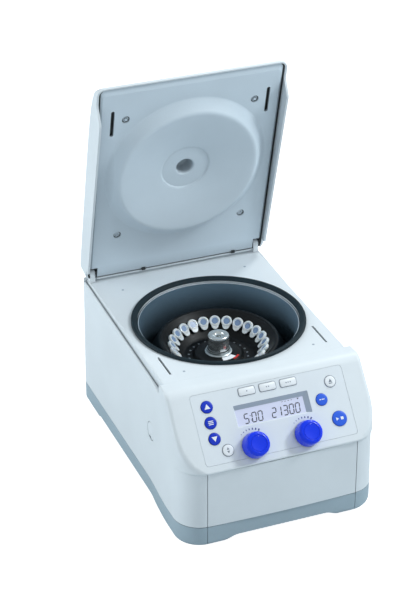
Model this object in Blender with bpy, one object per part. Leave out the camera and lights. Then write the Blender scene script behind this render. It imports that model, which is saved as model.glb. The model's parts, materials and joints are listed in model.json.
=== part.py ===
"""Bench-top microcentrifuge, lid open, as an assembly of separate pieces.

Frame: metres, +Z up, the operator stands at -Y and +X is at the operator's right hand.
The origin is the middle of the footprint on the bench.
"""

import math
import bmesh
import bpy
from mathutils import Vector

# ---------------------------------------------------------------- driving dimensions
GAP = 0.0003                 # space left between neighbouring pieces

BODY_BACK = 0.187
BODY_FRONT = -0.183
BODY_HALF_TOP = 0.1202       # half width at the deck
BODY_HALF_FOOT = 0.1221      # half width at the seam above the base
BODY_FRONT_CORNER = 0.033
FLARE = 0.0035               # the side walls swell outward by this towards the front corners
FLARE_START = -0.055
FLARE_END = -0.130
BODY_BACK_CORNER = 0.012
WALL = 0.003

SEAM_Z = 0.038               # white housing above, grey base below
BASE_UNDERSIDE = 0.0100
ARCH_TOP = 0.0185            # the lower edge rises to this height between the corner feet
FRONT_ARCH = (0.056, 0.083)  # the arch's slope starts and ends at these distances from the middle
SIDE_ARCH_FRONT = (-0.070, -0.112)
SIDE_ARCH_BACK = (0.117, 0.140)
TRAY_FLOOR = 0.0245
FOOT_RADIUS = 0.010
FOOT_X = 0.094
FOOT_Y = (-0.150, 0.152)

DECK_Z = 0.189
DECK_HALF = 0.116            # raised platform; a ledge runs along each side of it
LEDGE_FRONT_Z = 0.178
LEDGE_BACK_Z = 0.1865
LEDGE_FRONT_Y = -0.099
LEDGE_BACK_Y = 0.176

CONSOLE_TILT = math.radians(50)
CONSOLE_Y = -0.1243          # the console's slope passes through this line on the deck
CONSOLE_TOP_Z = 0.1915
CONSOLE_FILLET = 0.020
CONSOLE_STEP_Y = -0.0995
LIP_Z = 0.1122               # underside of the console's lower lip
COVER_HALF = 0.0949          # front cover between its two vertical seams
PLUG_CENTRE = (-0.067, 0.108)
PLUG_RADIUS = 0.0114

BOWL_Y = 0.018               # rotor axis and chamber centre
BOWL_RIM = 0.0975
BOWL_WALL = 0.0015
BOWL_BOTTOM_Z = 0.098
DECK_OPENING = 0.0999
GASKET_OUTER = 0.1072
GASKET_TOP_Z = 0.193

HINGE_Y = 0.1705
HINGE_Z = 0.2008
OPEN_ANGLE = math.radians(76.4)
LINER_Z = 0.1935             # underside of the liner when the lid is closed
LINER_THICK = 0.0028
LID_SCREW_X = 0.083
LID_SCREW_Y = (-0.070, 0.109)
LID_HALF = 0.1215
LID_FRONT = -0.1192
LID_BACK = 0.1770
LID_LIP_Z = 0.1975           # top of the lid's upright front lip
LID_STATIONS = (0.045, 0.09, 0.15, 0.24, 0.42)  # shares of the straight side, from the front
BOSS_ROOT = 0.1035
BOSS_CREST = 0.0885
BOSS_DROP = 0.012
BOSS_DISC = 0.0318

LATCH_X = 0.100
LATCH_Y = -0.100
LATCH_Z = 0.165
SHAFT_HALF = 0.104

TUBES = 24
TUBE_BORE = 0.0056
TUBE_BORE_DEPTH = 0.0345
CONE_R = 0.0588              # where each tube bore's axis meets the rotor's cone
CONE_Z = 0.1532

PANEL_HALF = 0.0960
PANEL_TOP = 0.0050           # distances down the console's slope
PANEL_BOTTOM = 0.0888
PANEL_THICK = 0.0024
WINDOW_HALF = 0.0473
WINDOW_TOP = 0.0262
WINDOW_BOTTOM = 0.0528
KNOB_X = 0.0332
KNOB_DOWN = 0.0762
KNOB_RADIUS = 0.0155
KNOB_HEIGHT = 0.0180
ENCODER_TOP = -0.0106
BUTTON_TRAVEL = 0.0008
BUTTON_PROUD = 0.0013

SWITCH_X = 0.014
SWITCH_Y = 0.181
SWITCH_Z = 0.075
SWITCH_REST = math.radians(7)

# round buttons: name, x, distance down the slope, radius, finish
ROUND_BUTTONS = (
    ("button_up", -0.0782, 0.0212, 0.0072, "blue"),
    ("button_menu", -0.0782, 0.0401, 0.0072, "blue"),
    ("button_down", -0.0782, 0.0590, 0.0072, "blue"),
    ("button_unit", -0.0656, 0.0750, 0.0066, "pale"),
    ("button_short", 0.0618, 0.0408, 0.0072, "blue"),
    ("button_open", 0.0776, 0.0220, 0.0066, "pale"),
    ("button_start", 0.0778, 0.0670, 0.0091, "blue"),
)
BUTTON_MARGIN = 0.0004       # clearance round each button in the panel
KEY_X = (("key_left", -0.0262), ("key_middle", 0.0), ("key_right", 0.0262))
KEY_DOWN = 0.0125
KEY_HALF_X = 0.0102
KEY_HALF_Y = 0.0045

# colour (sRGB 0-255), roughness, metallic
FINISHES = {
    "white": ((226, 234, 238), 0.42, 0.0),
    "liner": ((186, 202, 212), 0.50, 0.0),
    "grey": ((137, 156, 166), 0.50, 0.0),
    "blue": ((22, 62, 214), 0.30, 0.0),
    "pale": ((234, 240, 244), 0.35, 0.0),
    "seal": ((24, 29, 33), 0.65, 0.0),
    "bowl": ((122, 136, 146), 0.38, 0.9),
    "rotor": ((16, 18, 20), 0.36, 0.3),
    "bright": ((205, 210, 212), 0.18, 1.0),
    "steel": ((150, 154, 158), 0.35, 1.0),
    "motor": ((72, 76, 80), 0.50, 0.6),
    "board": ((28, 92, 58), 0.55, 0.0),
    "dark": ((30, 31, 33), 0.50, 0.0),
    "lens": ((206, 214, 232), 0.08, 0.0),
    "display": ((196, 202, 226), 0.35, 0.0),
    "rubber": ((34, 35, 37), 0.80, 0.0),
}


# ---------------------------------------------------------------- small tools
def clear_scene():
    for obj in list(bpy.data.objects):
        bpy.data.objects.remove(obj, do_unlink=True)


def linear(channel):
    value = channel / 255
    return value / 12.92 if value <= 0.04045 else ((value + 0.055) / 1.055) ** 2.4


def give_finish(obj, finish):
    colour, roughness, metallic = FINISHES[finish]
    material = bpy.data.materials.new(obj.name + "_" + finish)
    material.use_nodes = True
    shader = material.node_tree.nodes["Principled BSDF"]
    shader.inputs["Base Color"].default_value = [linear(c) for c in colour] + [1.0]
    shader.inputs["Roughness"].default_value = roughness
    shader.inputs["Metallic"].default_value = metallic
    obj.data.materials.append(material)


def make_object(name, bm, place=(0, 0, 0), parent=None):
    bmesh.ops.recalc_face_normals(bm, faces=bm.faces)
    mesh = bpy.data.meshes.new(name)
    bm.to_mesh(mesh)
    bm.free()
    mesh.shade_smooth()
    mesh.set_sharp_from_angle(angle=math.radians(32))
    obj = bpy.data.objects.new(name, mesh)
    bpy.context.collection.objects.link(obj)
    obj.location = place
    obj.parent = parent
    return obj


def make_empty(name, place, tilt=0.0):
    empty = bpy.data.objects.new(name, None)
    bpy.context.collection.objects.link(empty)
    empty.location = place
    empty.rotation_euler = (tilt, 0, 0)
    return empty


def along(axis, a, b, c):
    """A point whose first two numbers lie across the axis and whose third runs along it."""
    if axis == "X":
        return Vector((c, a, b))
    if axis == "Y":
        return Vector((a, c, b))
    return Vector((a, b, c))


def join_loops(bm, first, second):
    count = max(len(first), len(second))
    for k in range(count):
        corners = []
        for vert in (first[k % len(first)], first[(k + 1) % len(first)],
                     second[(k + 1) % len(second)], second[k % len(second)]):
            if vert not in corners:
                corners.append(vert)
        bm.faces.new(corners)


def add_stack(bm, loops):
    """A closed body through a list of loops of points, capped at both ends."""
    rings = [[bm.verts.new(p) for p in loop] for loop in loops]
    for lower, upper in zip(rings, rings[1:]):
        join_loops(bm, lower, upper)
    bm.faces.new(rings[0])
    bm.faces.new(rings[-1])


def add_prism(bm, outline, axis, low, high):
    add_stack(bm, [[along(axis, a, b, c) for a, b in outline] for c in (low, high)])


def add_box(bm, x_range, y_range, z_range):
    outline = [(x_range[0], y_range[0]), (x_range[1], y_range[0]),
               (x_range[1], y_range[1]), (x_range[0], y_range[1])]
    add_prism(bm, outline, "Z", *z_range)


def add_turned(bm, profile, steps, centre=(0, 0), axis="Z"):
    """A turned body. The profile holds (radius, height) points; it either closes on itself
    or starts and ends on the axis."""
    rings = []
    for radius, height in profile:
        count = steps if radius > 1e-6 else 1
        angles = [2 * math.pi * k / steps for k in range(count)]
        rings.append([bm.verts.new(along(axis, centre[0] + radius * math.cos(t),
                                         centre[1] + radius * math.sin(t), height))
                      for t in angles])
    for lower, upper in zip(rings, rings[1:]):
        join_loops(bm, lower, upper)
    if len(rings[0]) > 1:
        join_loops(bm, rings[-1], rings[0])


def arc(centre, radius, start, end, steps):
    """Points on an arc, from start to end in degrees."""
    angles = [math.radians(start + (end - start) * k / steps) for k in range(steps + 1)]
    return [(centre[0] + radius * math.cos(t), centre[1] + radius * math.sin(t)) for t in angles]


def rounded_rectangle(half, front, back, front_radius, back_radius, steps=5):
    f, b = front_radius, back_radius
    return (arc((half - f, front + f), f, -90, 0, steps)
            + arc((half - b, back - b), b, 0, 90, steps)
            + arc((b - half, back - b), b, 90, 180, steps)
            + arc((f - half, front + f), f, 180, 270, steps))


def flared_outline(half, front, back, front_radius, back_radius, steps=6):
    """Plan of the body: straight sides behind, swelling smoothly towards the front corners."""
    f, b, wide = front_radius, back_radius, half + FLARE
    right = arc((wide - f, front + f), f, -90, 0, steps)
    for k in range(1, steps):
        t = k / steps
        y = FLARE_END + (FLARE_START - FLARE_END) * t
        right.append((wide - FLARE * t * t * (3 - 2 * t), y))
    right.append((half, FLARE_START))
    right += arc((half - b, back - b), b, 0, 90, steps)
    return right + [(-x, y) for x, y in reversed(right)]


def prism(name, outline, axis, low, high, place=(0, 0, 0), parent=None):
    bm = bmesh.new()
    add_prism(bm, outline, axis, low, high)
    return make_object(name, bm, place, parent)


def box(name, x_range, y_range, z_range, parent=None):
    bm = bmesh.new()
    add_box(bm, x_range, y_range, z_range)
    return make_object(name, bm, parent=parent)


def turned(name, profile, steps, place=(0, 0, 0), parent=None, axis="Z"):
    bm = bmesh.new()
    add_turned(bm, profile, steps, axis=axis)
    return make_object(name, bm, place, parent)


def guide(obj):
    """A shape that only cuts, joins or trims other pieces."""
    obj.hide_render = True
    obj.display_type = "WIRE"
    return obj


def combine(target, tool, operation="DIFFERENCE"):
    modifier = target.modifiers.new(tool.name, "BOOLEAN")
    modifier.operation = operation
    modifier.solver = "EXACT"
    modifier.object = tool


def soften(obj, width, segments=1):
    modifier = obj.modifiers.new("edges", "BEVEL")
    modifier.width = width
    modifier.segments = segments
    modifier.limit_method = "ANGLE"
    modifier.angle_limit = math.radians(40)


# ---------------------------------------------------------------- base
def base_outline(half, front):
    return flared_outline(half, front, BODY_BACK, BODY_FRONT_CORNER, BODY_BACK_CORNER)


def arch_slope(top_end, low_end, steps=6):
    """A smooth S-curve from the arch's top down past the base's underside."""
    low = BASE_UNDERSIDE - 0.001
    points = []
    for k in range(steps + 1):
        t = k / steps
        ease = t * t * (3 - 2 * t)
        points.append((top_end + (low_end - top_end) * t, ARCH_TOP + (low - ARCH_TOP) * ease))
    return points


def base_arches():
    """The raised lower edge between the corner feet, along and across the base."""
    top, foot = FRONT_ARCH
    side = arch_slope(*SIDE_ARCH_FRONT)[::-1] + arch_slope(*SIDE_ARCH_BACK)
    front = arch_slope(-top, -foot)[::-1] + arch_slope(top, foot)
    return (guide(prism("guide_side_arch", side, "X", -0.14, 0.14)),
            guide(prism("guide_front_arch", front, "Y", -0.20, 0.20)))


def base_tray(arches):
    top = SEAM_Z - GAP
    low = [Vector((x, y, BASE_UNDERSIDE)) for x, y in base_outline(0.1145, -0.179)]
    high = [Vector((x, y, top)) for x, y in base_outline(0.1218, BODY_FRONT)]
    bm = bmesh.new()
    add_stack(bm, [low, high])
    tray = make_object("base_tray", bm)
    pocket = guide(prism("guide_tray_pocket",
                         rounded_rectangle(0.1135, -0.1745, 0.183, 0.024, 0.008),
                         "Z", TRAY_FLOOR, 0.06))
    notch = guide(box("guide_tray_notch", (-0.0953, 0.0953), (-0.20, -0.177), (0.0, 0.06)))
    for tool in (pocket, notch) + arches:
        combine(tray, tool)
    give_finish(tray, "grey")


def bowed_outline(front, bow, inner, steps=8):
    """Plan of a front cover: straight behind, gently bowed in front."""
    points = [(COVER_HALF, inner), (-COVER_HALF, inner)]
    for k in range(steps + 1):
        x = COVER_HALF * (2 * k / steps - 1)
        points.append((x, front - bow * (1 - (x / COVER_HALF) ** 2)))
    return points


def base_front_panel(front_arch):
    low = [Vector((x, y, BASE_UNDERSIDE)) for x, y in bowed_outline(-0.1795, 0.0015, -0.1773)]
    high = [Vector((x, y, SEAM_Z - GAP)) for x, y in bowed_outline(-0.1830, 0.0020, -0.1773)]
    bm = bmesh.new()
    add_stack(bm, [low, high])
    panel = make_object("base_front_panel", bm)
    combine(panel, front_arch)
    give_finish(panel, "grey")


def feet():
    top = BASE_UNDERSIDE - GAP
    profile = [(0, 0), (FOOT_RADIUS - 0.001, 0), (FOOT_RADIUS, 0.001), (FOOT_RADIUS, top), (0, top)]
    for row, y in zip(("front", "back"), FOOT_Y):
        for side, sign in (("left", -1), ("right", 1)):
            foot = turned("foot_%s_%s" % (row, side), profile, 20, (sign * FOOT_X, y, 0))
            give_finish(foot, "rubber")


# ---------------------------------------------------------------- housing
def down_slope(distance, height=0.0):
    """World (y, z) of a point on the console's slope, height metres above it."""
    s, c = math.sin(CONSOLE_TILT), math.cos(CONSOLE_TILT)
    return (CONSOLE_Y - distance * c - height * s, DECK_Z - distance * s + height * c)


def slope_y(z, depth=0.0):
    """The slope's y at a height z, for a plane depth metres inside it."""
    y, z0 = down_slope(0.0, -depth)
    return y - (z0 - z) / math.tan(CONSOLE_TILT)


def console_fillet():
    """Arc from the console's flat top down into its slope."""
    run = CONSOLE_FILLET * math.tan(CONSOLE_TILT / 2)
    centre = (slope_y(CONSOLE_TOP_Z) + run, CONSOLE_TOP_Z - CONSOLE_FILLET)
    return arc(centre, CONSOLE_FILLET, 90 + math.degrees(CONSOLE_TILT), 90, 6)


def housing_profile():
    lip = [(BODY_FRONT, LIP_Z), (-0.1858, 0.1134), (-0.1862, 0.1150), (slope_y(0.1165), 0.1165)]
    back = arc((BODY_BACK - 0.006, DECK_Z - 0.006), 0.006, 90, 0, 3)
    return ([(BODY_FRONT, SEAM_Z + GAP)] + lip + console_fillet()
            + [(CONSOLE_STEP_Y - 0.002, CONSOLE_TOP_Z), (CONSOLE_STEP_Y, DECK_Z)]
            + back + [(BODY_BACK, SEAM_Z + GAP)])


def plan_trim(name, low_half, high_half, front, lip_front, radius, back):
    """The body's plan at all heights. The console's lip stands a little further forward."""
    loops = []
    lip_half = low_half + (high_half - low_half) * (LIP_Z - SEAM_Z) / (DECK_Z - SEAM_Z)
    for half, y, z in ((low_half, front, 0.030), (lip_half, front, LIP_Z - GAP),
                       (lip_half, lip_front, LIP_Z), (high_half, lip_front, 0.200)):
        outline = flared_outline(half, y, back, radius, BODY_BACK_CORNER)
        loops.append([Vector((x, y, z)) for x, y in outline])
    bm = bmesh.new()
    add_stack(bm, loops)
    return guide(make_object(name, bm))


def housing_cavity(name, half, top_z, inner_plan):
    depth = WALL
    outline = [(-0.180, 0.02), (-0.180, slope_y_height(-0.180, depth)), (slope_y(top_z, depth), top_z),
               (BODY_BACK - WALL, top_z), (BODY_BACK - WALL, 0.02)]
    cavity = guide(prism(name, outline, "X", -half, half))
    combine(cavity, inner_plan, "INTERSECT")
    return cavity


def slope_y_height(y, depth):
    """The slope's height at a given y, for a plane depth metres inside it."""
    y0, z0 = down_slope(0.0, -depth)
    return z0 + (y - y0) * math.tan(CONSOLE_TILT)


def side_ledges():
    outline = [(LEDGE_FRONT_Y, LEDGE_FRONT_Z), (LEDGE_BACK_Y, LEDGE_BACK_Z),
               (LEDGE_BACK_Y, 0.21), (LEDGE_FRONT_Y, 0.21)]
    bm = bmesh.new()
    add_prism(bm, outline, "X", DECK_HALF, 0.14)
    add_prism(bm, outline, "X", -0.14, -DECK_HALF)
    return guide(make_object("guide_ledges", bm))


def housing_openings():
    """Round chamber opening, latch slots, front opening, rear opening and side hole."""
    bm = bmesh.new()
    add_turned(bm, [(0, 0.176), (DECK_OPENING, 0.176), (DECK_OPENING, 0.20), (0, 0.20)], 56, (0, BOWL_Y))
    for sign in (-1, 1):
        x = sign * LATCH_X
        add_box(bm, (x - 0.0013, x + 0.0013), (-0.080, -0.038), (0.180, 0.200))
    add_box(bm, (-COVER_HALF - 0.0004, COVER_HALF + 0.0004), (-0.20, -0.1785), (0.02, LIP_Z - 0.0001))
    add_box(bm, (-0.080, 0.080), (0.178, 0.20), (0.050, 0.110))
    hole = PLUG_RADIUS + GAP
    add_turned(bm, [(0, -0.13), (hole, -0.13), (hole, -0.112), (0, -0.112)], 28, PLUG_CENTRE, "X")
    return guide(make_object("guide_housing_openings", bm))


def upper_housing(console):
    housing = prism("upper_housing", housing_profile(), "X", -0.13, 0.13)
    outer_plan = plan_trim("guide_outer_plan", BODY_HALF_FOOT, BODY_HALF_TOP, BODY_FRONT - 0.0002,
                           -0.1875, BODY_FRONT_CORNER, BODY_BACK + 0.0001)
    inner_half = BODY_HALF_TOP - WALL
    inner_plan = plan_trim("guide_inner_plan", inner_half, inner_half, BODY_FRONT + WALL,
                           BODY_FRONT + WALL - 0.0001, BODY_FRONT_CORNER - WALL, BODY_BACK - WALL + 0.0001)
    combine(housing, outer_plan, "INTERSECT")
    combine(housing, housing_cavity("guide_lower_cavity", 0.1300, 0.1735, inner_plan))
    combine(housing, housing_cavity("guide_upper_cavity", 0.1125, DECK_Z - WALL, inner_plan))
    combine(housing, side_ledges())
    combine(housing, housing_openings())
    opening = guide(box("guide_panel_opening", (-PANEL_HALF - GAP, PANEL_HALF + GAP),
                        (-PANEL_BOTTOM - GAP, -PANEL_TOP + GAP), (-0.012, 0.010), console))
    combine(housing, opening)
    give_finish(housing, "white")


def front_cover():
    cover = prism("front_cover", bowed_outline(BODY_FRONT, 0.0020, BODY_FRONT + WALL),
                  "Z", SEAM_Z + GAP, LIP_Z - 2 * GAP)
    give_finish(cover, "white")


def side_release_plug():
    """Covers the emergency lid release on the left side."""
    rim = PLUG_RADIUS - 0.0006
    profile = [(0, -0.1212), (rim, -0.1212), (PLUG_RADIUS, -0.1207), (PLUG_RADIUS, -0.1165), (0, -0.1165)]
    plug = turned("side_release_plug", profile, 28, (0,) + PLUG_CENTRE, axis="X")
    give_finish(plug, "white")


# ---------------------------------------------------------------- rear services
def rear_panel():
    bm = bmesh.new()
    for k in range(9):
        x = -0.070 + 0.0075 * k
        add_box(bm, (x, x + 0.003), (0.17, 0.20), (0.062, 0.098))
    add_box(bm, (0.0360, 0.0640), (0.17, 0.20), (0.0650, 0.0850))
    add_box(bm, (0.0037, 0.0243), (0.17, 0.20), (0.0637, 0.0863))
    cuts = guide(make_object("guide_rear_cuts", bm))
    panel = box("rear_panel", (-0.0797, 0.0797), (0.1843, 0.1866), (0.0503, 0.1097))
    combine(panel, cuts)
    give_finish(panel, "grey")


def mains_inlet():
    inlet = box("mains_inlet", (0.0363, 0.0637), (0.1650, 0.1880), (0.0653, 0.0847))
    pocket = guide(box("guide_inlet_pocket", (0.0385, 0.0615), (0.1720, 0.195), (0.0675, 0.0825)))
    bm = bmesh.new()
    for x, z in ((0.0430, 0.0735), (0.0500, 0.0770), (0.0570, 0.0735)):
        add_box(bm, (x - 0.0010, x + 0.0010), (0.1700, 0.1850), (z - 0.0020, z + 0.0020))
    blades = guide(make_object("guide_inlet_blades", bm))
    combine(inlet, pocket)
    combine(inlet, blades, "UNION")
    give_finish(inlet, "dark")


def mains_switch():
    frame = box("mains_switch_frame", (0.0040, 0.0240), (0.1700, 0.1880), (0.0640, 0.0860))
    pocket = guide(box("guide_switch_pocket", (0.0060, 0.0220), (0.1750, 0.195), (0.0667, 0.0833)))
    combine(frame, pocket)
    give_finish(frame, "dark")
    outline = ([(-0.0020, 0.0), (-0.0005, -0.0066), (0.0060, -0.0072), (0.0050, 0.0),
                (0.0060, 0.0072), (-0.0005, 0.0066)])
    axle = make_empty("rocker_axle", (SWITCH_X, SWITCH_Y, SWITCH_Z), SWITCH_REST)
    rocker = prism("mains_rocker", outline, "X", -0.0076, 0.0076, parent=axle)
    give_finish(rocker, "dark")


def power_supply():
    supply = box("power_supply", (-0.100, 0.010), (0.100, 0.160), (TRAY_FLOOR + 0.0005, 0.075))
    soften(supply, 0.002)
    give_finish(supply, "steel")


# ---------------------------------------------------------------- console
def panel_cuts(console):
    """Holes for the buttons and the knob shafts, and the display window."""
    low, high = -0.02, 0.02
    bm = bmesh.new()
    for _, x, down, radius, _ in ROUND_BUTTONS:
        hole = radius + BUTTON_MARGIN
        add_turned(bm, [(0, low), (hole, low), (hole, high), (0, high)], 24, (x, -down))
    for x in (-KNOB_X, KNOB_X):
        add_turned(bm, [(0, low), (0.004, low), (0.004, high), (0, high)], 16, (x, -KNOB_DOWN))
    for _, x in KEY_X:
        add_prism(bm, key_outline(x, BUTTON_MARGIN), "Z", low, high)
    add_box(bm, (-WINDOW_HALF, WINDOW_HALF), (-WINDOW_BOTTOM, -WINDOW_TOP), (low, high))
    return guide(make_object("guide_panel_holes", bm, parent=console))


def key_outline(x, margin=0.0):
    half_x, half_y = KEY_HALF_X + margin, KEY_HALF_Y + margin
    outline = rounded_rectangle(half_x, -KEY_DOWN - half_y, -KEY_DOWN + half_y, 0.0015, 0.0015, 2)
    return [(x + a, b) for a, b in outline]


def keypad_panel(console):
    outline = rounded_rectangle(PANEL_HALF, -PANEL_BOTTOM, -PANEL_TOP, 0.003, 0.003, 2)
    panel = prism("keypad_panel", outline, "Z", -PANEL_THICK, 0.0, parent=console)
    combine(panel, panel_cuts(console))
    give_finish(panel, "white")


def display(console):
    lens = box("display_lens", (-WINDOW_HALF + GAP, WINDOW_HALF - GAP),
               (-WINDOW_BOTTOM + GAP, -WINDOW_TOP - GAP), (-0.0022, -0.0010), console)
    give_finish(lens, "lens")
    module = box("display_module", (-0.0500, 0.0500), (-0.0545, -0.0250), (-0.0120, -0.0028), console)
    give_finish(module, "display")


def buttons(console):
    low = -0.0032
    for name, x, down, radius, finish in ROUND_BUTTONS:
        profile = [(0, low), (radius, low), (radius, BUTTON_PROUD - 0.0005),
                   (radius - 0.0005, BUTTON_PROUD), (0, BUTTON_PROUD)]
        button = turned(name, profile, 24, (x, -down, 0), console)
        give_finish(button, finish)
    for name, x in KEY_X:
        key = prism(name, [(a - x, b + KEY_DOWN) for a, b in key_outline(x)], "Z", low,
                    BUTTON_PROUD - 0.0003, (x, -KEY_DOWN, 0), console)
        give_finish(key, "pale")


def knobs(console):
    shoulder = 0.0045
    side = arc((KNOB_RADIUS - 0.0009 - shoulder, KNOB_HEIGHT - shoulder), shoulder, 10, 80, 4)
    profile = [(0, -0.0100), (0.0030, -0.0100), (0.0030, 0.0010), (KNOB_RADIUS - 0.0003, 0.0010),
               (KNOB_RADIUS, 0.0025)] + side + [(0.0098, KNOB_HEIGHT - 0.0005), (0, KNOB_HEIGHT - 0.0008)]
    for name, x in (("knob_left", -KNOB_X), ("knob_right", KNOB_X)):
        knob = turned(name, profile, 28, (x, -KNOB_DOWN, 0), console)
        give_finish(knob, "blue")


def electronics(console):
    board = box("control_board", (-0.085, 0.085), (-0.0850, -0.0100), (-0.0190, -0.0174), console)
    give_finish(board, "board")
    for name, x in (("encoder_left", -KNOB_X), ("encoder_right", KNOB_X)):
        encoder = box(name, (x - 0.006, x + 0.006), (-KNOB_DOWN - 0.006, -KNOB_DOWN + 0.006),
                      (-0.0170, ENCODER_TOP), console)
        soften(encoder, 0.0006)
        give_finish(encoder, "steel")


# ---------------------------------------------------------------- chamber, rotor, motor
def chamber_bowl():
    wall = BOWL_WALL
    profile = [(BOWL_RIM, 0.1875), (0.0928, 0.111), (0.0885, 0.1020), (0.0820, BOWL_BOTTOM_Z + wall),
               (0.0140, BOWL_BOTTOM_Z + wall), (0.0140, BOWL_BOTTOM_Z), (0.0830, BOWL_BOTTOM_Z),
               (0.0900, 0.1010), (0.0943, 0.1105), (BOWL_RIM + wall, 0.1825),
               (0.1045, 0.1825), (0.1045, 0.1840), (BOWL_RIM + wall, 0.1840), (BOWL_RIM + wall, 0.1875)]
    bowl = turned("chamber_bowl", profile, 48, (0, BOWL_Y, 0))
    give_finish(bowl, "bowl")


def bowl_gasket():
    """Its inner lip is parallel to the lid boss, so the closed lid nests in it."""
    low = DECK_Z + GAP
    profile = [(0.0994, low), (0.1040, GASKET_TOP_Z), (0.1060, GASKET_TOP_Z), (0.1069, 0.1923),
               (GASKET_OUTER, 0.1912), (GASKET_OUTER, low)]
    gasket = turned("bowl_gasket", profile, 56, (0, BOWL_Y, 0))
    give_finish(gasket, "seal")


def tube_bores(axle):
    """One sloping bore for each tube, all in one cutter."""
    bm = bmesh.new()
    lean = math.radians(45)
    steps = 10
    for k in range(TUBES):
        turn = 2 * math.pi * k / TUBES
        outward = Vector((math.cos(turn), math.sin(turn), 0))
        across = Vector((-math.sin(turn), math.cos(turn), 0))
        down = outward * math.sin(lean) - Vector((0, 0, math.cos(lean)))
        lift = outward * math.cos(lean) + Vector((0, 0, math.sin(lean)))
        mouth = outward * CONE_R + Vector((0, 0, CONE_Z))
        loops = []
        for depth, radius in ((-0.003, TUBE_BORE), (TUBE_BORE_DEPTH - 0.003, TUBE_BORE),
                              (TUBE_BORE_DEPTH, TUBE_BORE - 0.0025)):
            ring = []
            for j in range(steps):
                t = 2 * math.pi * j / steps
                ring.append(mouth + down * depth + (across * math.cos(t) + lift * math.sin(t)) * radius)
            loops.append(ring)
        add_stack(bm, loops)
    return guide(make_object("guide_tube_bores", bm, parent=axle))


def rotor_body(axle):
    profile = [(0.0056, 0.1180), (0.0056, 0.1495), (0.0160, 0.1495), (0.0185, 0.1400), (0.0430, 0.1385),
               (0.0450, 0.1394), (0.0690, 0.1634), (0.0702, 0.1650), (0.0735, 0.1650), (0.0752, 0.1630),
               (0.0885, 0.1400), (0.0895, 0.1250), (0.0870, 0.1155), (0.0780, 0.1130), (0.0720, 0.1180),
               (0.0520, 0.1335), (0.0240, 0.1335), (0.0220, 0.1180)]
    rotor = turned("rotor_body", profile, 44, parent=axle)
    combine(rotor, tube_bores(axle))
    give_finish(rotor, "rotor")


def rotor_nut(axle):
    profile = [(0, 0.1498), (0.0125, 0.1498), (0.0140, 0.1512), (0.0138, 0.1635), (0.0148, 0.1652),
               (0.0148, 0.1675), (0.0136, 0.1690), (0.0062, 0.1690), (0.0050, 0.1668), (0, 0.1660)]
    nut = turned("rotor_nut", profile, 28, parent=axle)
    give_finish(nut, "bright")


def motor_shaft(axle):
    shaft = turned("motor_shaft", [(0, 0.080), (0.0052, 0.080), (0.0052, 0.1490), (0, 0.1490)], 20, parent=axle)
    give_finish(shaft, "steel")


def motor():
    profile = [(0, 0.0378), (0.0450, 0.0378), (0.0450, 0.0880), (0.0410, 0.0920), (0.0058, 0.0920),
               (0.0058, 0.0780), (0, 0.0780)]
    housing = turned("motor_housing", profile, 32, (0, BOWL_Y, 0))
    give_finish(housing, "motor")
    plate = prism("motor_plate", rounded_rectangle(0.068, BOWL_Y - 0.062, BOWL_Y + 0.062, 0.012, 0.012, 3),
                  "Z", 0.0346, 0.0375)
    give_finish(plate, "steel")
    low = TRAY_FLOOR + GAP
    bulge = [(0, low), (0.0085, low), (0.0095, 0.0296), (0.0085, 0.0343), (0, 0.0343)]
    for name, turn in (("damper_front", 270), ("damper_left", 150), ("damper_right", 30)):
        t = math.radians(turn)
        damper = turned(name, bulge, 20, (0.050 * math.cos(t), BOWL_Y + 0.050 * math.sin(t), 0))
        give_finish(damper, "rubber")


# ---------------------------------------------------------------- lid latch
def latch(axle):
    shaft = turned("latch_shaft", [(0, -SHAFT_HALF), (0.003, -SHAFT_HALF), (0.003, SHAFT_HALF), (0, SHAFT_HALF)],
                   16, parent=axle, axis="X")
    give_finish(shaft, "steel")
    hub = arc((0, 0), 0.0065, 60, 300, 8)
    beak = [(0.046, -0.0020), (0.048, 0.0010), (0.048, 0.0130), (0.052, 0.0160), (0.052, 0.0185),
            (0.0500, 0.0202), (0.0350, 0.0202), (0.0320, 0.0170), (0.0320, 0.0060)]
    bore = guide(turned("guide_hook_bore", [(0, -0.12), (0.0033, -0.12), (0.0033, 0.12), (0, 0.12)],
                        16, parent=axle, axis="X"))
    for name, x in (("latch_hook_left", -LATCH_X), ("latch_hook_right", LATCH_X)):
        hook = prism(name, hub + beak, "X", x - 0.0007, x + 0.0007, parent=axle)
        combine(hook, bore)
        give_finish(hook, "steel")
    gearbox = box("latch_motor", (0.020, 0.070), (-0.118, -0.088), (0.125, 0.1605))
    soften(gearbox, 0.002)
    give_finish(gearbox, "dark")


# ---------------------------------------------------------------- lid
def lid_point(x, y, z):
    """A point of the closed lid, measured from the hinge axis."""
    return Vector((x, y - HINGE_Y, z - HINGE_Z))


def lid_loop(half, front, back, radius, z, steps=4):
    return [lid_point(x, y, z) for x, y in rounded_rectangle(half, front, back, radius, radius, steps)]


def lid_thinning(y):
    """Share of the lid's full height, from nothing at its front edge to all at the back."""
    depth = y - LID_FRONT
    return 1 - 0.75 * math.exp(-depth / 0.018) - 0.25 * math.exp(-depth / 0.075)


def crowned_loop(half, front, back, radius, z, floor):
    """A level of the lid, bent down towards the front but never below the floor."""
    outline = rounded_rectangle(half, front, back, radius, radius, 4)
    middle = len(outline) // 2
    start, end = front + radius, back - radius
    right = [(half, start + (end - start) * share) for share in LID_STATIONS]
    left = [(-x, y) for x, y in reversed(right)]
    quarter = middle // 2
    outline = outline[:quarter] + right + outline[quarter:middle + quarter] + left + outline[middle + quarter:]
    return [lid_point(x, y, max(floor, LID_LIP_Z + (z - LID_LIP_Z) * lid_thinning(y))) for x, y in outline]


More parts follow.
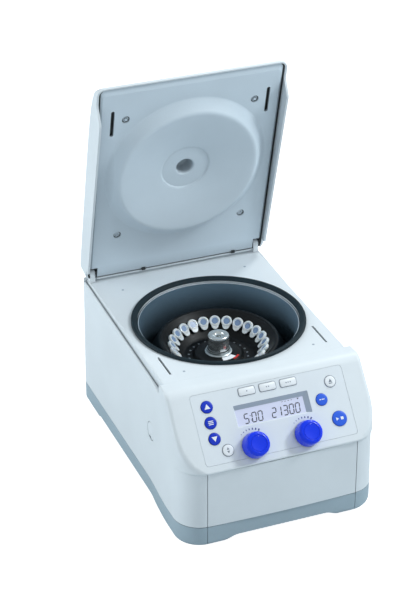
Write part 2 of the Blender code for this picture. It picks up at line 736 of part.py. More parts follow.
def crowned_block(name, hinge, half, front, back, radius, low, shoulder, floor):
    """A pillow-topped block: straight sides, rounded shoulder, gently crowned top.
    The rises are heights above the shoulder at growing distances in from the edge."""
    loops = []
    for inset, rise in ((0, 0), (0.0012, 0.0050), (0.0050, 0.0095), (0.0120, 0.0128), (0.0300, 0.0178),
                        (0.0600, 0.0228), (0.1000, 0.0256)):
        corner = max(radius - inset, 0.004)
        loops.append(crowned_loop(half - inset, front + inset, back - inset, corner, shoulder + rise, floor))
    base = [Vector((point.x, point.y, low - HINGE_Z)) for point in loops[0]]
    bm = bmesh.new()
    add_stack(bm, [base] + loops)
    return make_object(name, bm, parent=hinge)


def lid_prism(name, outline, hinge, low=-0.14, high=0.14):
    return prism(name, [(y - HINGE_Y, z - HINGE_Z) for y, z in outline], "X", low, high, parent=hinge)


def lid_box(name, hinge, x_range, y_range, z_range):
    return box(name, x_range, [y - HINGE_Y for y in y_range], [z - HINGE_Z for z in z_range], hinge)


def hinge_notches(hinge):
    """Room in the lid for the two hinge brackets through the lid's whole swing."""
    bm = bmesh.new()
    for low, high in ((0.1060, 0.1178), (-0.1178, -0.1060)):
        add_box(bm, (low, high), (0.158 - HINGE_Y, 0.185 - HINGE_Y), (0.180 - HINGE_Z, 0.2090 - HINGE_Z))
    return guide(make_object("guide_hinge_notches", bm, parent=hinge))


def lid_shell(hinge, notches):
    wall = 0.0030
    shell = crowned_block("lid_shell", hinge, LID_HALF, LID_FRONT, LID_BACK, 0.010, 0.1700, 0.2142, 0)
    hollow = guide(crowned_block("guide_lid_hollow", hinge, LID_HALF - wall, LID_FRONT + 0.0018,
                                 LID_BACK - 0.0020, 0.0075, 0.1600, 0.2142 - wall,
                                 LINER_Z + LINER_THICK + GAP))
    rim = LINER_Z + 0.0001
    flange_end = 0.160
    skirt = [(-0.13, 0.15), (-0.13, rim), (LEDGE_FRONT_Y + 0.0006, rim),
             (LEDGE_FRONT_Y + 0.0006, LEDGE_FRONT_Z + 0.0012), (flange_end, 0.1872), (flange_end, rim),
             (0.190, rim), (0.190, 0.15)]
    below_rim = guide(lid_prism("guide_below_rim", skirt, hinge))
    for tool in (hollow, below_rim, notches):
        combine(shell, tool)
    give_finish(shell, "white")


def boss_turned(name, profile, hinge, steps=48):
    place = (0, BOWL_Y - HINGE_Y, -HINGE_Z)
    return turned(name, profile, steps, place, hinge)


def lid_liner(hinge, notches):
    top = LINER_Z + LINER_THICK
    loops = [lid_loop(0.1140, -0.1085, 0.1725, 0.005, LINER_Z),
             lid_loop(0.1170, -0.1168, 0.1745, 0.006, LINER_Z + 0.0020),
             lid_loop(0.1170, -0.1168, 0.1745, 0.006, top)]
    bm = bmesh.new()
    add_stack(bm, loops)
    liner = make_object("lid_liner", bm, parent=hinge)
    crest, disc = LINER_Z - BOSS_DROP, LINER_Z - 0.0006
    boss = guide(boss_turned("guide_boss", [
        (0, disc), (BOSS_DISC, disc), (BOSS_DISC + 0.0010, disc - 0.0006), (BOSS_CREST - 0.0025, crest + 0.0003),
        (BOSS_CREST, crest), (BOSS_CREST + 0.0020, crest + 0.0007), (BOSS_CREST + 0.0040, crest + 0.0023),
        (BOSS_CREST + 0.0070, crest + 0.0058), (BOSS_ROOT, LINER_Z), (BOSS_ROOT, LINER_Z + 0.001),
        (0.0155, LINER_Z + 0.001), (0.0155, LINER_Z + 0.0105), (0, LINER_Z + 0.0105)], hinge))
    pocket = guide(boss_turned("guide_boss_pocket", [
        (BOSS_DISC + 0.0030, LINER_Z + 0.0020), (BOSS_CREST - 0.0040, crest + 0.0036),
        (BOSS_CREST, crest + 0.0030), (BOSS_CREST + 0.0045, crest + 0.0060), (BOSS_ROOT - 0.0040, top - 0.0005),
        (BOSS_ROOT - 0.0040, top + 0.01), (BOSS_DISC + 0.0030, top + 0.01)], hinge))
    dimple = guide(boss_turned("guide_dimple", [
        (0, disc - 0.002), (0.0122, disc - 0.002), (0.0112, disc + 0.0012), (0.0092, disc + 0.0062),
        (0, disc + 0.0075)], hinge, 24))
    bm = bmesh.new()
    for sign in (-1, 1):
        slot = (sign * LATCH_X - 0.0023, sign * LATCH_X + 0.0023)
        add_box(bm, slot, (-0.085 - HINGE_Y, -0.048 - HINGE_Y), (0.18 - HINGE_Z, 0.21 - HINGE_Z))
        for y in LID_SCREW_Y:
            add_turned(bm, [(0, -0.02), (0.0023, -0.02), (0.0023, 0.02), (0, 0.02)], 12,
                       (sign * LID_SCREW_X, y - HINGE_Y))
    holes = guide(make_object("guide_liner_holes", bm, parent=hinge))
    combine(liner, boss, "UNION")
    for tool in (pocket, dimple, holes, notches):
        combine(liner, tool)
    give_finish(liner, "liner")


def lid_screws(hinge):
    low, high = LINER_Z - 0.0018, LINER_Z - GAP
    profile = [(0, low), (0.0028, low), (0.0036, low + 0.0006), (0.0036, high), (0.0018, high),
               (0.0018, 0.2050), (0, 0.2050)]
    for row, y in zip(("front", "back"), LID_SCREW_Y):
        for side, sign in (("left", -1), ("right", 1)):
            place = lid_point(sign * LID_SCREW_X, y, 0)
            screw = turned("lid_screw_%s_%s" % (row, side), profile, 16, place, hinge)
            give_finish(screw, "bright")


def lid_strikes(hinge):
    for name, x in (("lid_strike_left", -LATCH_X), ("lid_strike_right", LATCH_X)):
        strike = lid_box(name, hinge, (x - 0.0045, x + 0.0045), (-0.0540, -0.0490), (0.1980, 0.2020))
        give_finish(strike, "steel")


def hinge_shaft(hinge):
    half = 0.1178
    shaft = turned("hinge_shaft", [(0, -half), (0.0025, -half), (0.0025, half), (0, half)], 16,
                   parent=hinge, axis="X")
    give_finish(shaft, "steel")


def lid_spring(hinge):
    """A torsion spring wound round the hinge shaft."""
    coil, wire, turns, length = 0.0036, 0.00055, 9, 0.030
    around, sides = 9, 4
    loops = []
    for k in range(turns * around + 1):
        t = 2 * math.pi * k / around
        x = length * (k / (turns * around) - 0.5)
        radial = Vector((0, math.cos(t), math.sin(t)))
        centre = Vector((x, 0, 0)) + radial * coil
        loops.append([centre + radial * wire * math.cos(2 * math.pi * j / sides)
                      + Vector((wire * math.sin(2 * math.pi * j / sides), 0, 0)) for j in range(sides)])
    bm = bmesh.new()
    add_stack(bm, loops)
    spring = make_object("lid_spring", bm, parent=hinge)
    give_finish(spring, "steel")


def hinge_brackets():
    """Posts on the deck that carry the hinge shaft."""
    foot = DECK_Z + GAP
    outline = ([(HINGE_Y - 0.0065, foot), (HINGE_Y + 0.0065, foot)]
               + arc((HINGE_Y, HINGE_Z), 0.0055, 0, 180, 8))
    bore = guide(turned("guide_bracket_bore", [(0, -0.13), (0.0030, -0.13), (0.0030, 0.13), (0, 0.13)],
                        16, (0, HINGE_Y, HINGE_Z), axis="X"))
    for name, low in (("hinge_bracket_left", -0.1150), ("hinge_bracket_right", 0.1085)):
        bracket = prism(name, outline, "X", low, low + 0.0065)
        combine(bracket, bore)
        give_finish(bracket, "white")


# ---------------------------------------------------------------- assembly
def build_base():
    arches = base_arches()
    base_tray(arches)
    base_front_panel(arches[1])
    feet()


def build_housing(console):
    upper_housing(console)
    front_cover()
    side_release_plug()
    rear_panel()
    mains_inlet()
    mains_switch()
    power_supply()


def build_console(console):
    keypad_panel(console)
    display(console)
    buttons(console)
    knobs(console)
    electronics(console)


def build_chamber():
    chamber_bowl()
    bowl_gasket()
    axle = make_empty("rotor_axle", (0, BOWL_Y, 0))
    rotor_body(axle)
    rotor_nut(axle)
    motor_shaft(axle)
    motor()


def build_lid():
    hinge = make_empty("lid_hinge", (0, HINGE_Y, HINGE_Z), -OPEN_ANGLE)
    notches = hinge_notches(hinge)
    lid_shell(hinge, notches)
    lid_liner(hinge, notches)
    lid_screws(hinge)
    lid_strikes(hinge)
    hinge_shaft(hinge)
    lid_spring(hinge)
    hinge_brackets()


def build():
    clear_scene()
    console = make_empty("console_face", (0, CONSOLE_Y, DECK_Z), CONSOLE_TILT)
    build_base()
    build_housing(console)
    build_console(console)
    build_chamber()
    latch(make_empty("latch_axle", (0, LATCH_Y, LATCH_Z)))
    build_lid()


build()
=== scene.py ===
"""Looks of a bench-top microcentrifuge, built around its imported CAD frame.

Metres, in the frame's own axes: the operator stands at -Y and +X is at the operator's right hand.
The lid's pieces are modelled in the closed position and swung open about the hinge by LID.
The console's pieces are modelled in the console's own plane and tilted into place by FACE.
"""

import json
import math
import bmesh
import bpy
from mathutils import Matrix, Vector


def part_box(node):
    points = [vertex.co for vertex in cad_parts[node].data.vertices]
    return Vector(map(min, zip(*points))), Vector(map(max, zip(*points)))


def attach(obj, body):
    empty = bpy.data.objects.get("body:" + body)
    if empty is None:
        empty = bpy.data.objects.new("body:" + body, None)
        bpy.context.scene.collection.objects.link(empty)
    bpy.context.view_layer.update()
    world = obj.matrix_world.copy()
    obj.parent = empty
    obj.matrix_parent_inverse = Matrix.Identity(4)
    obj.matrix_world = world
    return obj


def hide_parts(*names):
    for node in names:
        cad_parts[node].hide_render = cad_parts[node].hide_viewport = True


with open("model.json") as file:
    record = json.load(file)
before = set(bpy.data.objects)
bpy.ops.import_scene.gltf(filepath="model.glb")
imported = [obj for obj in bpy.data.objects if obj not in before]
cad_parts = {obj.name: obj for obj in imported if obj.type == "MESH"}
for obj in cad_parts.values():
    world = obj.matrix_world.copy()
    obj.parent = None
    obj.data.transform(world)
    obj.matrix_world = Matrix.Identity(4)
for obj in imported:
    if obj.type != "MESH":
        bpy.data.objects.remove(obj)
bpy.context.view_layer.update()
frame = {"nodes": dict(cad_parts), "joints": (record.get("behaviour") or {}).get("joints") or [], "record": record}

# ---------------------------------------------------------------- places taken from the frame
MM = 0.001
GAP = 0.3 * MM
X_AXIS = Vector((1, 0, 0))
JOINTS = {joint["name"]: joint for joint in frame["joints"]}

DECK_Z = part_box("bowl_gasket")[0].z - GAP
SEAM_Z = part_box("upper_housing")[0].z - GAP
CONSOLE_TOP_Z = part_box("upper_housing")[1].z
BODY_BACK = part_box("base_tray")[1].y
WALL_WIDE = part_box("upper_housing")[1].x
COVER_BOW = 2.0 * MM
BODY_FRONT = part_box("front_cover")[0].y + COVER_BOW
COVER_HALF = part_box("front_cover")[1].x
LIP_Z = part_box("front_cover")[1].z + 2 * GAP
BASE_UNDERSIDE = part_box("base_tray")[0].z
PLATFORM_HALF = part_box("hinge_bracket_right")[1].x + 1.0 * MM

HINGE = Vector(JOINTS["lid_hinge"]["pos_m"])
OPEN_ANGLE = math.radians(JOINTS["lid_hinge"]["range_deg"][1])
LID = Matrix.Translation(HINGE) @ Matrix.Rotation(-OPEN_ANGLE, 4, "X") @ Matrix.Translation(-HINGE)

ROTOR_AXIS = Vector(JOINTS["rotor_spin"]["pos_m"])
AXLE = Matrix.Translation((ROTOR_AXIS.x, ROTOR_AXIS.y, 0))

OUTWARD = Vector(JOINTS["knob_left_turn"]["axis"])
UPHILL = OUTWARD.cross(X_AXIS)
CONSOLE_TILT = math.atan2(-OUTWARD.y, OUTWARD.z)
KNOB_SEAT = Vector(JOINTS["knob_left_turn"]["pos_m"])
CONSOLE_Y = (KNOB_SEAT + UPHILL * ((DECK_Z - KNOB_SEAT.z) / UPHILL.z)).y
FACE = Matrix.Translation((0, CONSOLE_Y, DECK_Z)) @ Matrix.Rotation(CONSOLE_TILT, 4, "X")

# ---------------------------------------------------------------- sizes of the moulded shapes
FLARE = 3.5 * MM             # the side walls swell by this towards the front corners
FLARE_START = -55 * MM
FLARE_END = -130 * MM
TAPER = 1.9 * MM             # the side walls lean in by this from the seam to the deck
FRONT_CORNER = 33 * MM
BACK_CORNER = 12 * MM
WALL = 3.0 * MM
NOSE = 2.2 * MM              # rounding of the console's lower lip
CONSOLE_FILLET = 20 * MM
CHEEK_ROUND = 5.0 * MM       # rounding along both sides of the console
TOP_ROUND = 3.0 * MM
STEP_Y = -99.5 * MM          # the console's top drops here to the deck
LEDGE_Y = (-99 * MM, 176 * MM)
LEDGE_DROP = (11.0 * MM, 2.5 * MM)
GROOVE_WIDTH = 1.7 * MM
GROOVE_DEPTH = 2.2 * MM


def box_in(node, matrix):
    """Lowest and highest corner of a CAD node, in another frame."""
    inverse = matrix.inverted()
    points = [inverse @ v.co for v in frame["nodes"][node].data.vertices]
    return (Vector([min(p[i] for p in points) for i in range(3)]),
            Vector([max(p[i] for p in points) for i in range(3)]))


def centre_in(node, matrix):
    low, high = box_in(node, matrix)
    return (low + high) / 2


def round_in(node, matrix):
    """Centre, radius, lowest and highest level of a round CAD node, in another frame."""
    low, high = box_in(node, matrix)
    return ((low.x + high.x) / 2, (low.y + high.y) / 2), (high.x - low.x) / 2, low.z, high.z


# ---------------------------------------------------------------- mesh kit
def mm(points):
    """Points given in millimetres."""
    return [tuple(number * MM for number in point) for point in points]


def flat(outline, z):
    """An outline laid at a height."""
    return [Vector((x, y, z)) for x, y in outline]


def arc(centre, radius, start, end, steps):
    """Points on an arc, from start to end in degrees."""
    angles = [math.radians(start + (end - start) * k / steps) for k in range(steps + 1)]
    return [(centre[0] + radius * math.cos(t), centre[1] + radius * math.sin(t)) for t in angles]


def rounded_box(x_range, y_range, radius, steps=6):
    """A rectangle with round corners, as a loop of points."""
    (x0, x1), (y0, y1), r = x_range, y_range, radius
    return (arc((x1 - r, y0 + r), r, -90, 0, steps) + arc((x1 - r, y1 - r), r, 0, 90, steps)
            + arc((x0 + r, y1 - r), r, 90, 180, steps) + arc((x0 + r, y0 + r), r, 180, 270, steps))


def rounded_frame(low, high, margin, radius):
    """A round-cornered outline at a distance outside a box."""
    return rounded_box((low.x - margin, high.x + margin), (low.y - margin, high.y + margin), radius)


def disc(centre, radius, steps=24):
    return arc(centre, radius, 0, 360 * (steps - 1) / steps, steps - 1)


def along(axis, a, b, c):
    """A point whose first two numbers lie across the axis and whose third runs along it."""
    if axis == "X":
        return Vector((c, a, b))
    if axis == "Y":
        return Vector((a, c, b))
    return Vector((a, b, c))


def add_stack(bm, loops, closed=False):
    """A skin through loops of points, capped at both ends unless it closes on itself."""
    rings = [[bm.verts.new(p) for p in loop] for loop in loops]
    pairs = list(zip(rings, rings[1:]))
    if closed:
        pairs.append((rings[-1], rings[0]))
    for first, second in pairs:
        count = max(len(first), len(second))
        for k in range(count):
            corners = []
            for vert in (first[k % len(first)], first[(k + 1) % len(first)],
                         second[(k + 1) % len(second)], second[k % len(second)]):
                if vert not in corners:
                    corners.append(vert)
            bm.faces.new(corners)
    if not closed:
        for ring in (rings[0], rings[-1]):
            if len(ring) > 2:
                bm.faces.new(ring)


def add_prism(bm, outline, axis, low, high):
    add_stack(bm, [[along(axis, a, b, c) for a, b in outline] for c in (low, high)])


def add_turned(bm, profile, steps, centre=(0, 0), axis="Z"):
    """A turned skin. The (radius, height) profile closes on itself or ends on the axis."""
    loops = []
    for radius, height in profile:
        count = steps if radius > 1e-6 else 1
        loops.append([along(axis, centre[0] + radius * math.cos(2 * math.pi * k / steps),
                            centre[1] + radius * math.sin(2 * math.pi * k / steps), height)
                      for k in range(count)])
    add_stack(bm, loops, closed=len(loops[0]) > 1)


def make(name, bm, matrix=None):
    """An object from a bmesh, moved by the matrix and shaded."""
    if matrix is not None:
        bm.transform(matrix)
    bmesh.ops.recalc_face_normals(bm, faces=bm.faces)
    mesh = bpy.data.meshes.new(name)
    bm.to_mesh(mesh)
    bm.free()
    obj = bpy.data.objects.new(name, mesh)
    bpy.context.scene.collection.objects.link(obj)
    shade(obj)
    return obj


def shade(obj):
    """Smooth shading, with the steeper edges kept sharp."""
    obj.data.shade_smooth()
    obj.data.set_sharp_from_angle(angle=math.radians(32))


def prism(name, outline, axis, low, high, matrix=None):
    bm = bmesh.new()
    add_prism(bm, outline, axis, low, high)
    return make(name, bm, matrix)


def stack(name, loops, matrix=None):
    bm = bmesh.new()
    add_stack(bm, loops)
    return make(name, bm, matrix)


def turned(name, profile, steps, matrix=None, axis="Z", centre=(0, 0)):
    bm = bmesh.new()
    add_turned(bm, profile, steps, centre, axis)
    return make(name, bm, matrix)


def bake(obj):
    """Replaces the mesh by its modified one."""
    depsgraph = bpy.context.evaluated_depsgraph_get()
    mesh = bpy.data.meshes.new_from_object(obj.evaluated_get(depsgraph))
    obj.modifiers.clear()
    obj.data = mesh
    shade(obj)


def carve(obj, *tools, operation="DIFFERENCE"):
    """Cuts each tool away, or joins or intersects it, and removes the tools."""
    for tool in tools:
        modifier = obj.modifiers.new("cut", "BOOLEAN")
        modifier.operation = operation
        modifier.solver = "EXACT"
        modifier.object = tool
    bake(obj)
    for tool in tools:
        bpy.data.objects.remove(tool)
    return obj


def soften(obj, width, segments=3, angle=50):
    """Rounds the sharp edges and bakes the result."""
    modifier = obj.modifiers.new("edges", "BEVEL")
    modifier.width = width
    modifier.segments = segments
    modifier.limit_method = "ANGLE"
    modifier.angle_limit = math.radians(angle)
    bake(obj)
    return obj


def weigh(obj):
    """Keeps large flat faces flat where they meet small round ones."""
    modifier = obj.modifiers.new("normals", "WEIGHTED_NORMAL")
    modifier.keep_sharp = True
    return obj


def dress(obj, material, body, slot, *nodes):
    """Gives a piece its material and its body, and hides the CAD nodes it stands for. The slot argument, its
    finish, is not used.
    """
    obj.data.materials.clear()
    obj.data.materials.append(material)
    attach(obj, body)
    if nodes:
        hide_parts(*nodes)
    return obj


# ---------------------------------------------------------------- materials
def linear(channel):
    value = channel / 255
    return value / 12.92 if value <= 0.04045 else ((value + 0.055) / 1.055) ** 2.4


def rgb(red, green, blue):
    return (linear(red), linear(green), linear(blue), 1.0)


def add_node(tree, kind, links=None, **values):
    """A new node, with its inputs linked or filled in from links and its settings from values."""
    made = tree.nodes.new(kind)
    for key, value in values.items():
        setattr(made, key, value)
    for key, value in (links or {}).items():
        if isinstance(value, bpy.types.NodeSocket):
            tree.links.new(value, made.inputs[key])
        else:
            made.inputs[key].default_value = value
    return made


class Recipe:
    """A node material that grows node by node from its Principled shader."""

    def __init__(self, name):
        self.material = bpy.data.materials.new(name)
        self.material.use_nodes = True
        self.tree = self.material.node_tree
        self.shader = self.tree.nodes["Principled BSDF"]
        self.place = self.node("ShaderNodeTexCoord").outputs["Object"]

    def node(self, kind, links=None, **values):
        return add_node(self.tree, kind, links, **values)

    def set(self, **values):
        for key, value in values.items():
            socket = self.shader.inputs[key.replace("_", " ")]
            if isinstance(value, bpy.types.NodeSocket):
                self.tree.links.new(value, socket)
            else:
                socket.default_value = value
        return self

    def noise(self, scale, detail=3.0, place=None):
        links = {"Vector": place or self.place, "Scale": scale, "Detail": detail}
        return self.node("ShaderNodeTexNoise", links).outputs["Fac"]

    def spread(self, value, low, high, start=0.3, end=0.7):
        """Maps a value from start..end to low..high."""
        links = {"Value": value, "From Min": start, "From Max": end, "To Min": low, "To Max": high}
        return self.node("ShaderNodeMapRange", links).outputs["Result"]

    def mix(self, factor, first, second):
        links = {0: factor, 6: first, 7: second}
        return self.node("ShaderNodeMix", links, data_type="RGBA").outputs[2]

    def crevice(self, distance):
        """1 on open surfaces, falling towards 0 in seams and corners."""
        links = {"Distance": distance}
        return self.node("ShaderNodeAmbientOcclusion", links, samples=4).outputs["AO"]

    def bump(self, height, strength, distance, normal=None):
        links = {"Height": height, "Strength": strength, "Distance": distance}
        if normal is not None:
            links["Normal"] = normal
        return self.node("ShaderNodeBump", links).outputs["Normal"]


def shaded(colour, factor):
    return tuple(channel * factor for channel in colour[:3]) + (1.0,)


def moulded(name, colour, roughness, grain=1400, depth=0.12, grime_and_shade=0.72, coat=0.0, gloss=0.5, reach=6):
    """Injection-moulded plastic: fine spark texture, faint mottling, and seams darker by grime and painted shade
    within reach millimetres of a neighbouring surface."""
    recipe = Recipe(name)
    cloud = recipe.noise(14, 4)
    tone = recipe.mix(recipe.spread(cloud, 0, 1), shaded(colour, 0.965), shaded(colour, 1.02))
    # Painted shade with some grime: the colour darkens where ambient occlusion finds a neighbouring surface within
    # reach.
    seam = recipe.spread(recipe.crevice(reach * MM), 0, 1, 0.35, 0.95)
    recipe.set(Base_Color=recipe.mix(seam, shaded(colour, grime_and_shade), tone))
    fine = recipe.noise(grain, 2)
    handled = recipe.noise(55, 5)
    recipe.set(Roughness=recipe.spread(handled, roughness - 0.04, roughness + 0.05))
    broad = recipe.bump(recipe.noise(grain / 6, 2), depth / 2, 0.10 * MM)
    recipe.set(Normal=recipe.bump(fine, depth, 0.05 * MM, broad))
    recipe.set(Coat_Weight=coat, Coat_Roughness=0.12, Specular_IOR_Level=gloss)
    return recipe.material


def spun_metal(name, colour, roughness, metallic, centre, rings=2600, streak=0.35, gloss=0.5, reach=0):
    """Metal turned or spun about an upright axis, with fine circular tool marks."""
    recipe = Recipe(name)
    moved = recipe.node("ShaderNodeVectorMath", {0: recipe.place, 1: (-centre.x, -centre.y, 0)},
                        operation="ADD").outputs["Vector"]
    parts = recipe.node("ShaderNodeSeparateXYZ", {0: moved}).outputs
    across = recipe.node("ShaderNodeCombineXYZ", {"X": parts["X"], "Y": parts["Y"]}).outputs["Vector"]
    radius = recipe.node("ShaderNodeVectorMath", {0: across}, operation="LENGTH").outputs["Value"]
    turn = recipe.node("ShaderNodeMath", {0: parts["Y"], 1: parts["X"]}, operation="ARCTAN2").outputs[0]
    slow = recipe.node("ShaderNodeMath", {0: turn, 1: 0.004}, operation="MULTIPLY").outputs[0]
    marks = recipe.node("ShaderNodeCombineXYZ", {"X": radius, "Y": slow, "Z": parts["Z"]}).outputs["Vector"]
    fine = recipe.noise(rings, 2, marks)
    cloud = recipe.noise(22, 4)
    tone = recipe.mix(recipe.spread(fine, 0, 1), shaded(colour, 1 - streak * 0.25), shaded(colour, 1.04))
    tone = recipe.mix(recipe.spread(cloud, 0, 0.35), tone, shaded(colour, 0.86))
    # Painted shade: the colour falls towards 15 % where ambient occlusion finds surfaces within reach, darkening
    # deep hollows.
    if reach:
        open_share = recipe.spread(recipe.crevice(reach * MM), 0, 1, 0.2, 0.8)
        tone = recipe.mix(open_share, shaded(colour, 0.15), tone)
    recipe.set(Base_Color=tone)
    recipe.set(Metallic=metallic, Anisotropic=0.5, Specular_IOR_Level=gloss)
    recipe.set(Roughness=recipe.spread(fine, roughness - 0.05, roughness + 0.08))
    recipe.set(Normal=recipe.bump(fine, 0.15, 0.02 * MM))
    return recipe.material


def plain_metal(name, colour, roughness, metallic=1.0):
    """Sheet or bar metal with a faint directional grain."""
    recipe = Recipe(name)
    stretched = recipe.node("ShaderNodeVectorMath", {0: recipe.place, 1: (6, 120, 120)},
                            operation="MULTIPLY").outputs["Vector"]
    grain = recipe.noise(12, 3, stretched)
    recipe.set(Base_Color=recipe.mix(recipe.spread(grain, 0, 1), shaded(colour, 0.9), shaded(colour, 1.05)))
    recipe.set(Metallic=metallic, Roughness=recipe.spread(grain, roughness - 0.05, roughness + 0.07))
    recipe.set(Normal=recipe.bump(grain, 0.08, 0.03 * MM))
    return recipe.material


def rubber(name, colour, roughness=0.62):
    recipe = Recipe(name)
    fine = recipe.noise(900, 3)
    dust = recipe.noise(60, 6)
    recipe.set(Base_Color=recipe.mix(recipe.spread(dust, 0, 1, 0.45, 0.75), colour, shaded(colour, 1.5)))
    recipe.set(Roughness=recipe.spread(dust, roughness - 0.06, roughness + 0.1), Specular_IOR_Level=0.22)
    recipe.set(Normal=recipe.bump(fine, 0.25, 0.06 * MM))
    return recipe.material


def tube_plastic(name):
    """Milky polypropylene."""
    recipe = Recipe(name)
    cloud = recipe.noise(160, 3)
    recipe.set(Base_Color=recipe.mix(recipe.spread(cloud, 0, 1), rgb(226, 236, 242), rgb(246, 250, 252)))
    recipe.set(Roughness=recipe.spread(cloud, 0.22, 0.38), Subsurface_Weight=0.25, Transmission_Weight=0.12)
    recipe.set(Subsurface_Radius=(2 * MM, 2.4 * MM, 3 * MM), Subsurface_Scale=1.0)
    recipe.set(Normal=recipe.bump(recipe.noise(700, 2), 0.06, 0.05 * MM))
    return recipe.material


def printed(name, colour, roughness=0.45):
    """Pad-printed ink: slightly uneven, matt."""
    recipe = Recipe(name)
    speck = recipe.noise(2400, 2)
    recipe.set(Base_Color=recipe.mix(recipe.spread(speck, 0, 1), shaded(colour, 0.92), shaded(colour, 1.06)))
    recipe.set(Roughness=recipe.spread(speck, roughness - 0.05, roughness + 0.05))
    return recipe.material


def lcd_with_painted_glow(name, colour, painted_glow):
    """The display's reflective face: faint pixel grid under a glossy window, lightened by a faint painted glow."""
    recipe = Recipe(name)
    grid = recipe.node("ShaderNodeTexChecker", {"Vector": recipe.place, "Scale": 2400.0}).outputs["Fac"]
    cloud = recipe.noise(30, 2)
    tone = recipe.mix(recipe.spread(cloud, 0, 1), shaded(colour, 0.96), colour)
    recipe.set(Base_Color=recipe.mix(recipe.spread(grid, 0, 0.04, 0, 1), tone, shaded(colour, 0.8)))
    recipe.set(Roughness=0.3, Coat_Weight=0.8, Coat_Roughness=0.06)
    # Painted glow: the face gives off a little light of its own colour.
    recipe.set(Emission_Color=colour, Emission_Strength=painted_glow)
    return recipe.material


WHITE = moulded("white_plastic", rgb(226, 233, 238), 0.42)
# Painted shade: a long reach and strong darkening shade the valley round the boss and the dimple.
LINER = moulded("liner_plastic", rgb(216, 229, 239), 0.46, grime_and_shade=0.5, reach=24)
GREY = moulded("grey_plastic", rgb(164, 183, 194), 0.48)
PANEL = moulded("panel_foil", rgb(227, 234, 240), 0.38, grain=2200, depth=0.06, grime_and_shade=0.88)
KEY_WHITE = moulded("key_white", rgb(240, 244, 248), 0.34, grain=2200, depth=0.05, grime_and_shade=0.6)
BLUE = moulded("blue_plastic", rgb(0, 54, 238), 0.3, grain=1800, depth=0.05, coat=0.15, gloss=0.3)
BUTTON_BLUE = moulded("button_blue", rgb(18, 54, 196), 0.34, grain=2200, depth=0.04, grime_and_shade=0.5, gloss=0.3)
BUTTON_LIGHT = moulded("button_light_blue", rgb(48, 100, 226), 0.34, grain=2200, depth=0.04, grime_and_shade=0.5,
                       gloss=0.3)
# Also painted shade: the band in the lid's gap, the caps over the latch slots and the rings round the lid screws.
BLACK = moulded("black_plastic", rgb(30, 32, 34), 0.45, grime_and_shade=0.6)
INK_WHITE = printed("white_ink", rgb(246, 248, 252))
INK_BLUE = printed("blue_ink", rgb(28, 48, 130))
INK_GREY = printed("grey_ink", rgb(128, 136, 148))
# Painted shadow: grey rings round the keys and white buttons stand for the shadow along their edges.
RING_GREY = printed("edge_painted_shadow", rgb(158, 168, 180))
INK_RED = printed("red_ink", rgb(206, 44, 38))
SHADE_GREY = moulded("bezel_grey", rgb(164, 176, 190), 0.45)
LCD = lcd_with_painted_glow("display_face", rgb(214, 218, 240), 0.09)
LCD_INK = printed("display_segments", rgb(38, 42, 58), 0.3)
SEAL = rubber("seal_rubber", rgb(22, 37, 44), 0.55)
FOOT_RUBBER = rubber("foot_rubber", rgb(34, 35, 37), 0.8)
# Painted shade: a reach of 60 mm darkens the bowl towards its depths.
BOWL = spun_metal("bowl_metal", rgb(138, 168, 190), 0.38, 0.6, ROTOR_AXIS, reach=60)
RIM_METAL = spun_metal("rim_metal", rgb(214, 224, 232), 0.36, 0.8, ROTOR_AXIS)
ROTOR = spun_metal("rotor_anodised", rgb(9, 13, 16), 0.42, 0.0, ROTOR_AXIS, rings=1800, gloss=0.22)
SLEEVE = spun_metal("sleeve_metal", rgb(186, 194, 196), 0.3, 0.7, ROTOR_AXIS, rings=3600, streak=0.15)
NUT = spun_metal("nut_metal", rgb(212, 216, 216), 0.17, 0.85, ROTOR_AXIS, rings=3600, streak=0.15)
STEEL = plain_metal("steel", rgb(158, 162, 166), 0.34)
SCREW = plain_metal("screw_zinc", rgb(84, 90, 97), 0.32)
MOTOR_PAINT = plain_metal("motor_paint", rgb(70, 74, 78), 0.5, 0.6)
BOARD = moulded("board_green", rgb(28, 92, 58), 0.5, grain=300, depth=0.2)
TUBE = tube_plastic("tube_plastic")
TUBE_CENTRE = printed("tube_lid_centre", rgb(126, 150, 186), 0.3)

SLOT_MATERIALS = {
    "white": WHITE, "liner": LINER, "grey": GREY, "blue": BLUE, "pale": KEY_WHITE, "seal": SEAL,
    "bowl": BOWL, "rotor": ROTOR, "bright": NUT, "steel": STEEL, "motor": MOTOR_PAINT, "board": BOARD,
    "dark": BLACK, "lens": LCD, "display": LCD, "rubber": FOOT_RUBBER,
}


def finish_cad_nodes():
    """Every carried-over CAD node takes the material of its slot."""
    for part in frame["record"]["subparts"]:
        mesh = frame["nodes"][part["node"]].data
        mesh.materials.clear()
        mesh.materials.append(SLOT_MATERIALS[part["material_slot"]])


# ---------------------------------------------------------------- plan of the body
def ease(t):
    """A smooth step from 0 to 1."""
    t = min(max(t, 0.0), 1.0)
    return t * t * (3 - 2 * t)


def half_at(z):
    """Half width of the body behind its flare, at a height."""
    return WALL_WIDE - FLARE - TAPER * (z - SEAM_Z) / (DECK_Z - SEAM_Z)


def side_x(y, half, front, corner):
    """Half width at a y: a corner arc in front, then the flare, then the straight wall."""
    wide = half + FLARE
    if y < front + corner:
        depth = front + corner - y
        return wide - corner + math.sqrt(max(corner * corner - depth * depth, 0.0))
    return half + FLARE * ease((FLARE_START - y) / (FLARE_START - FLARE_END))


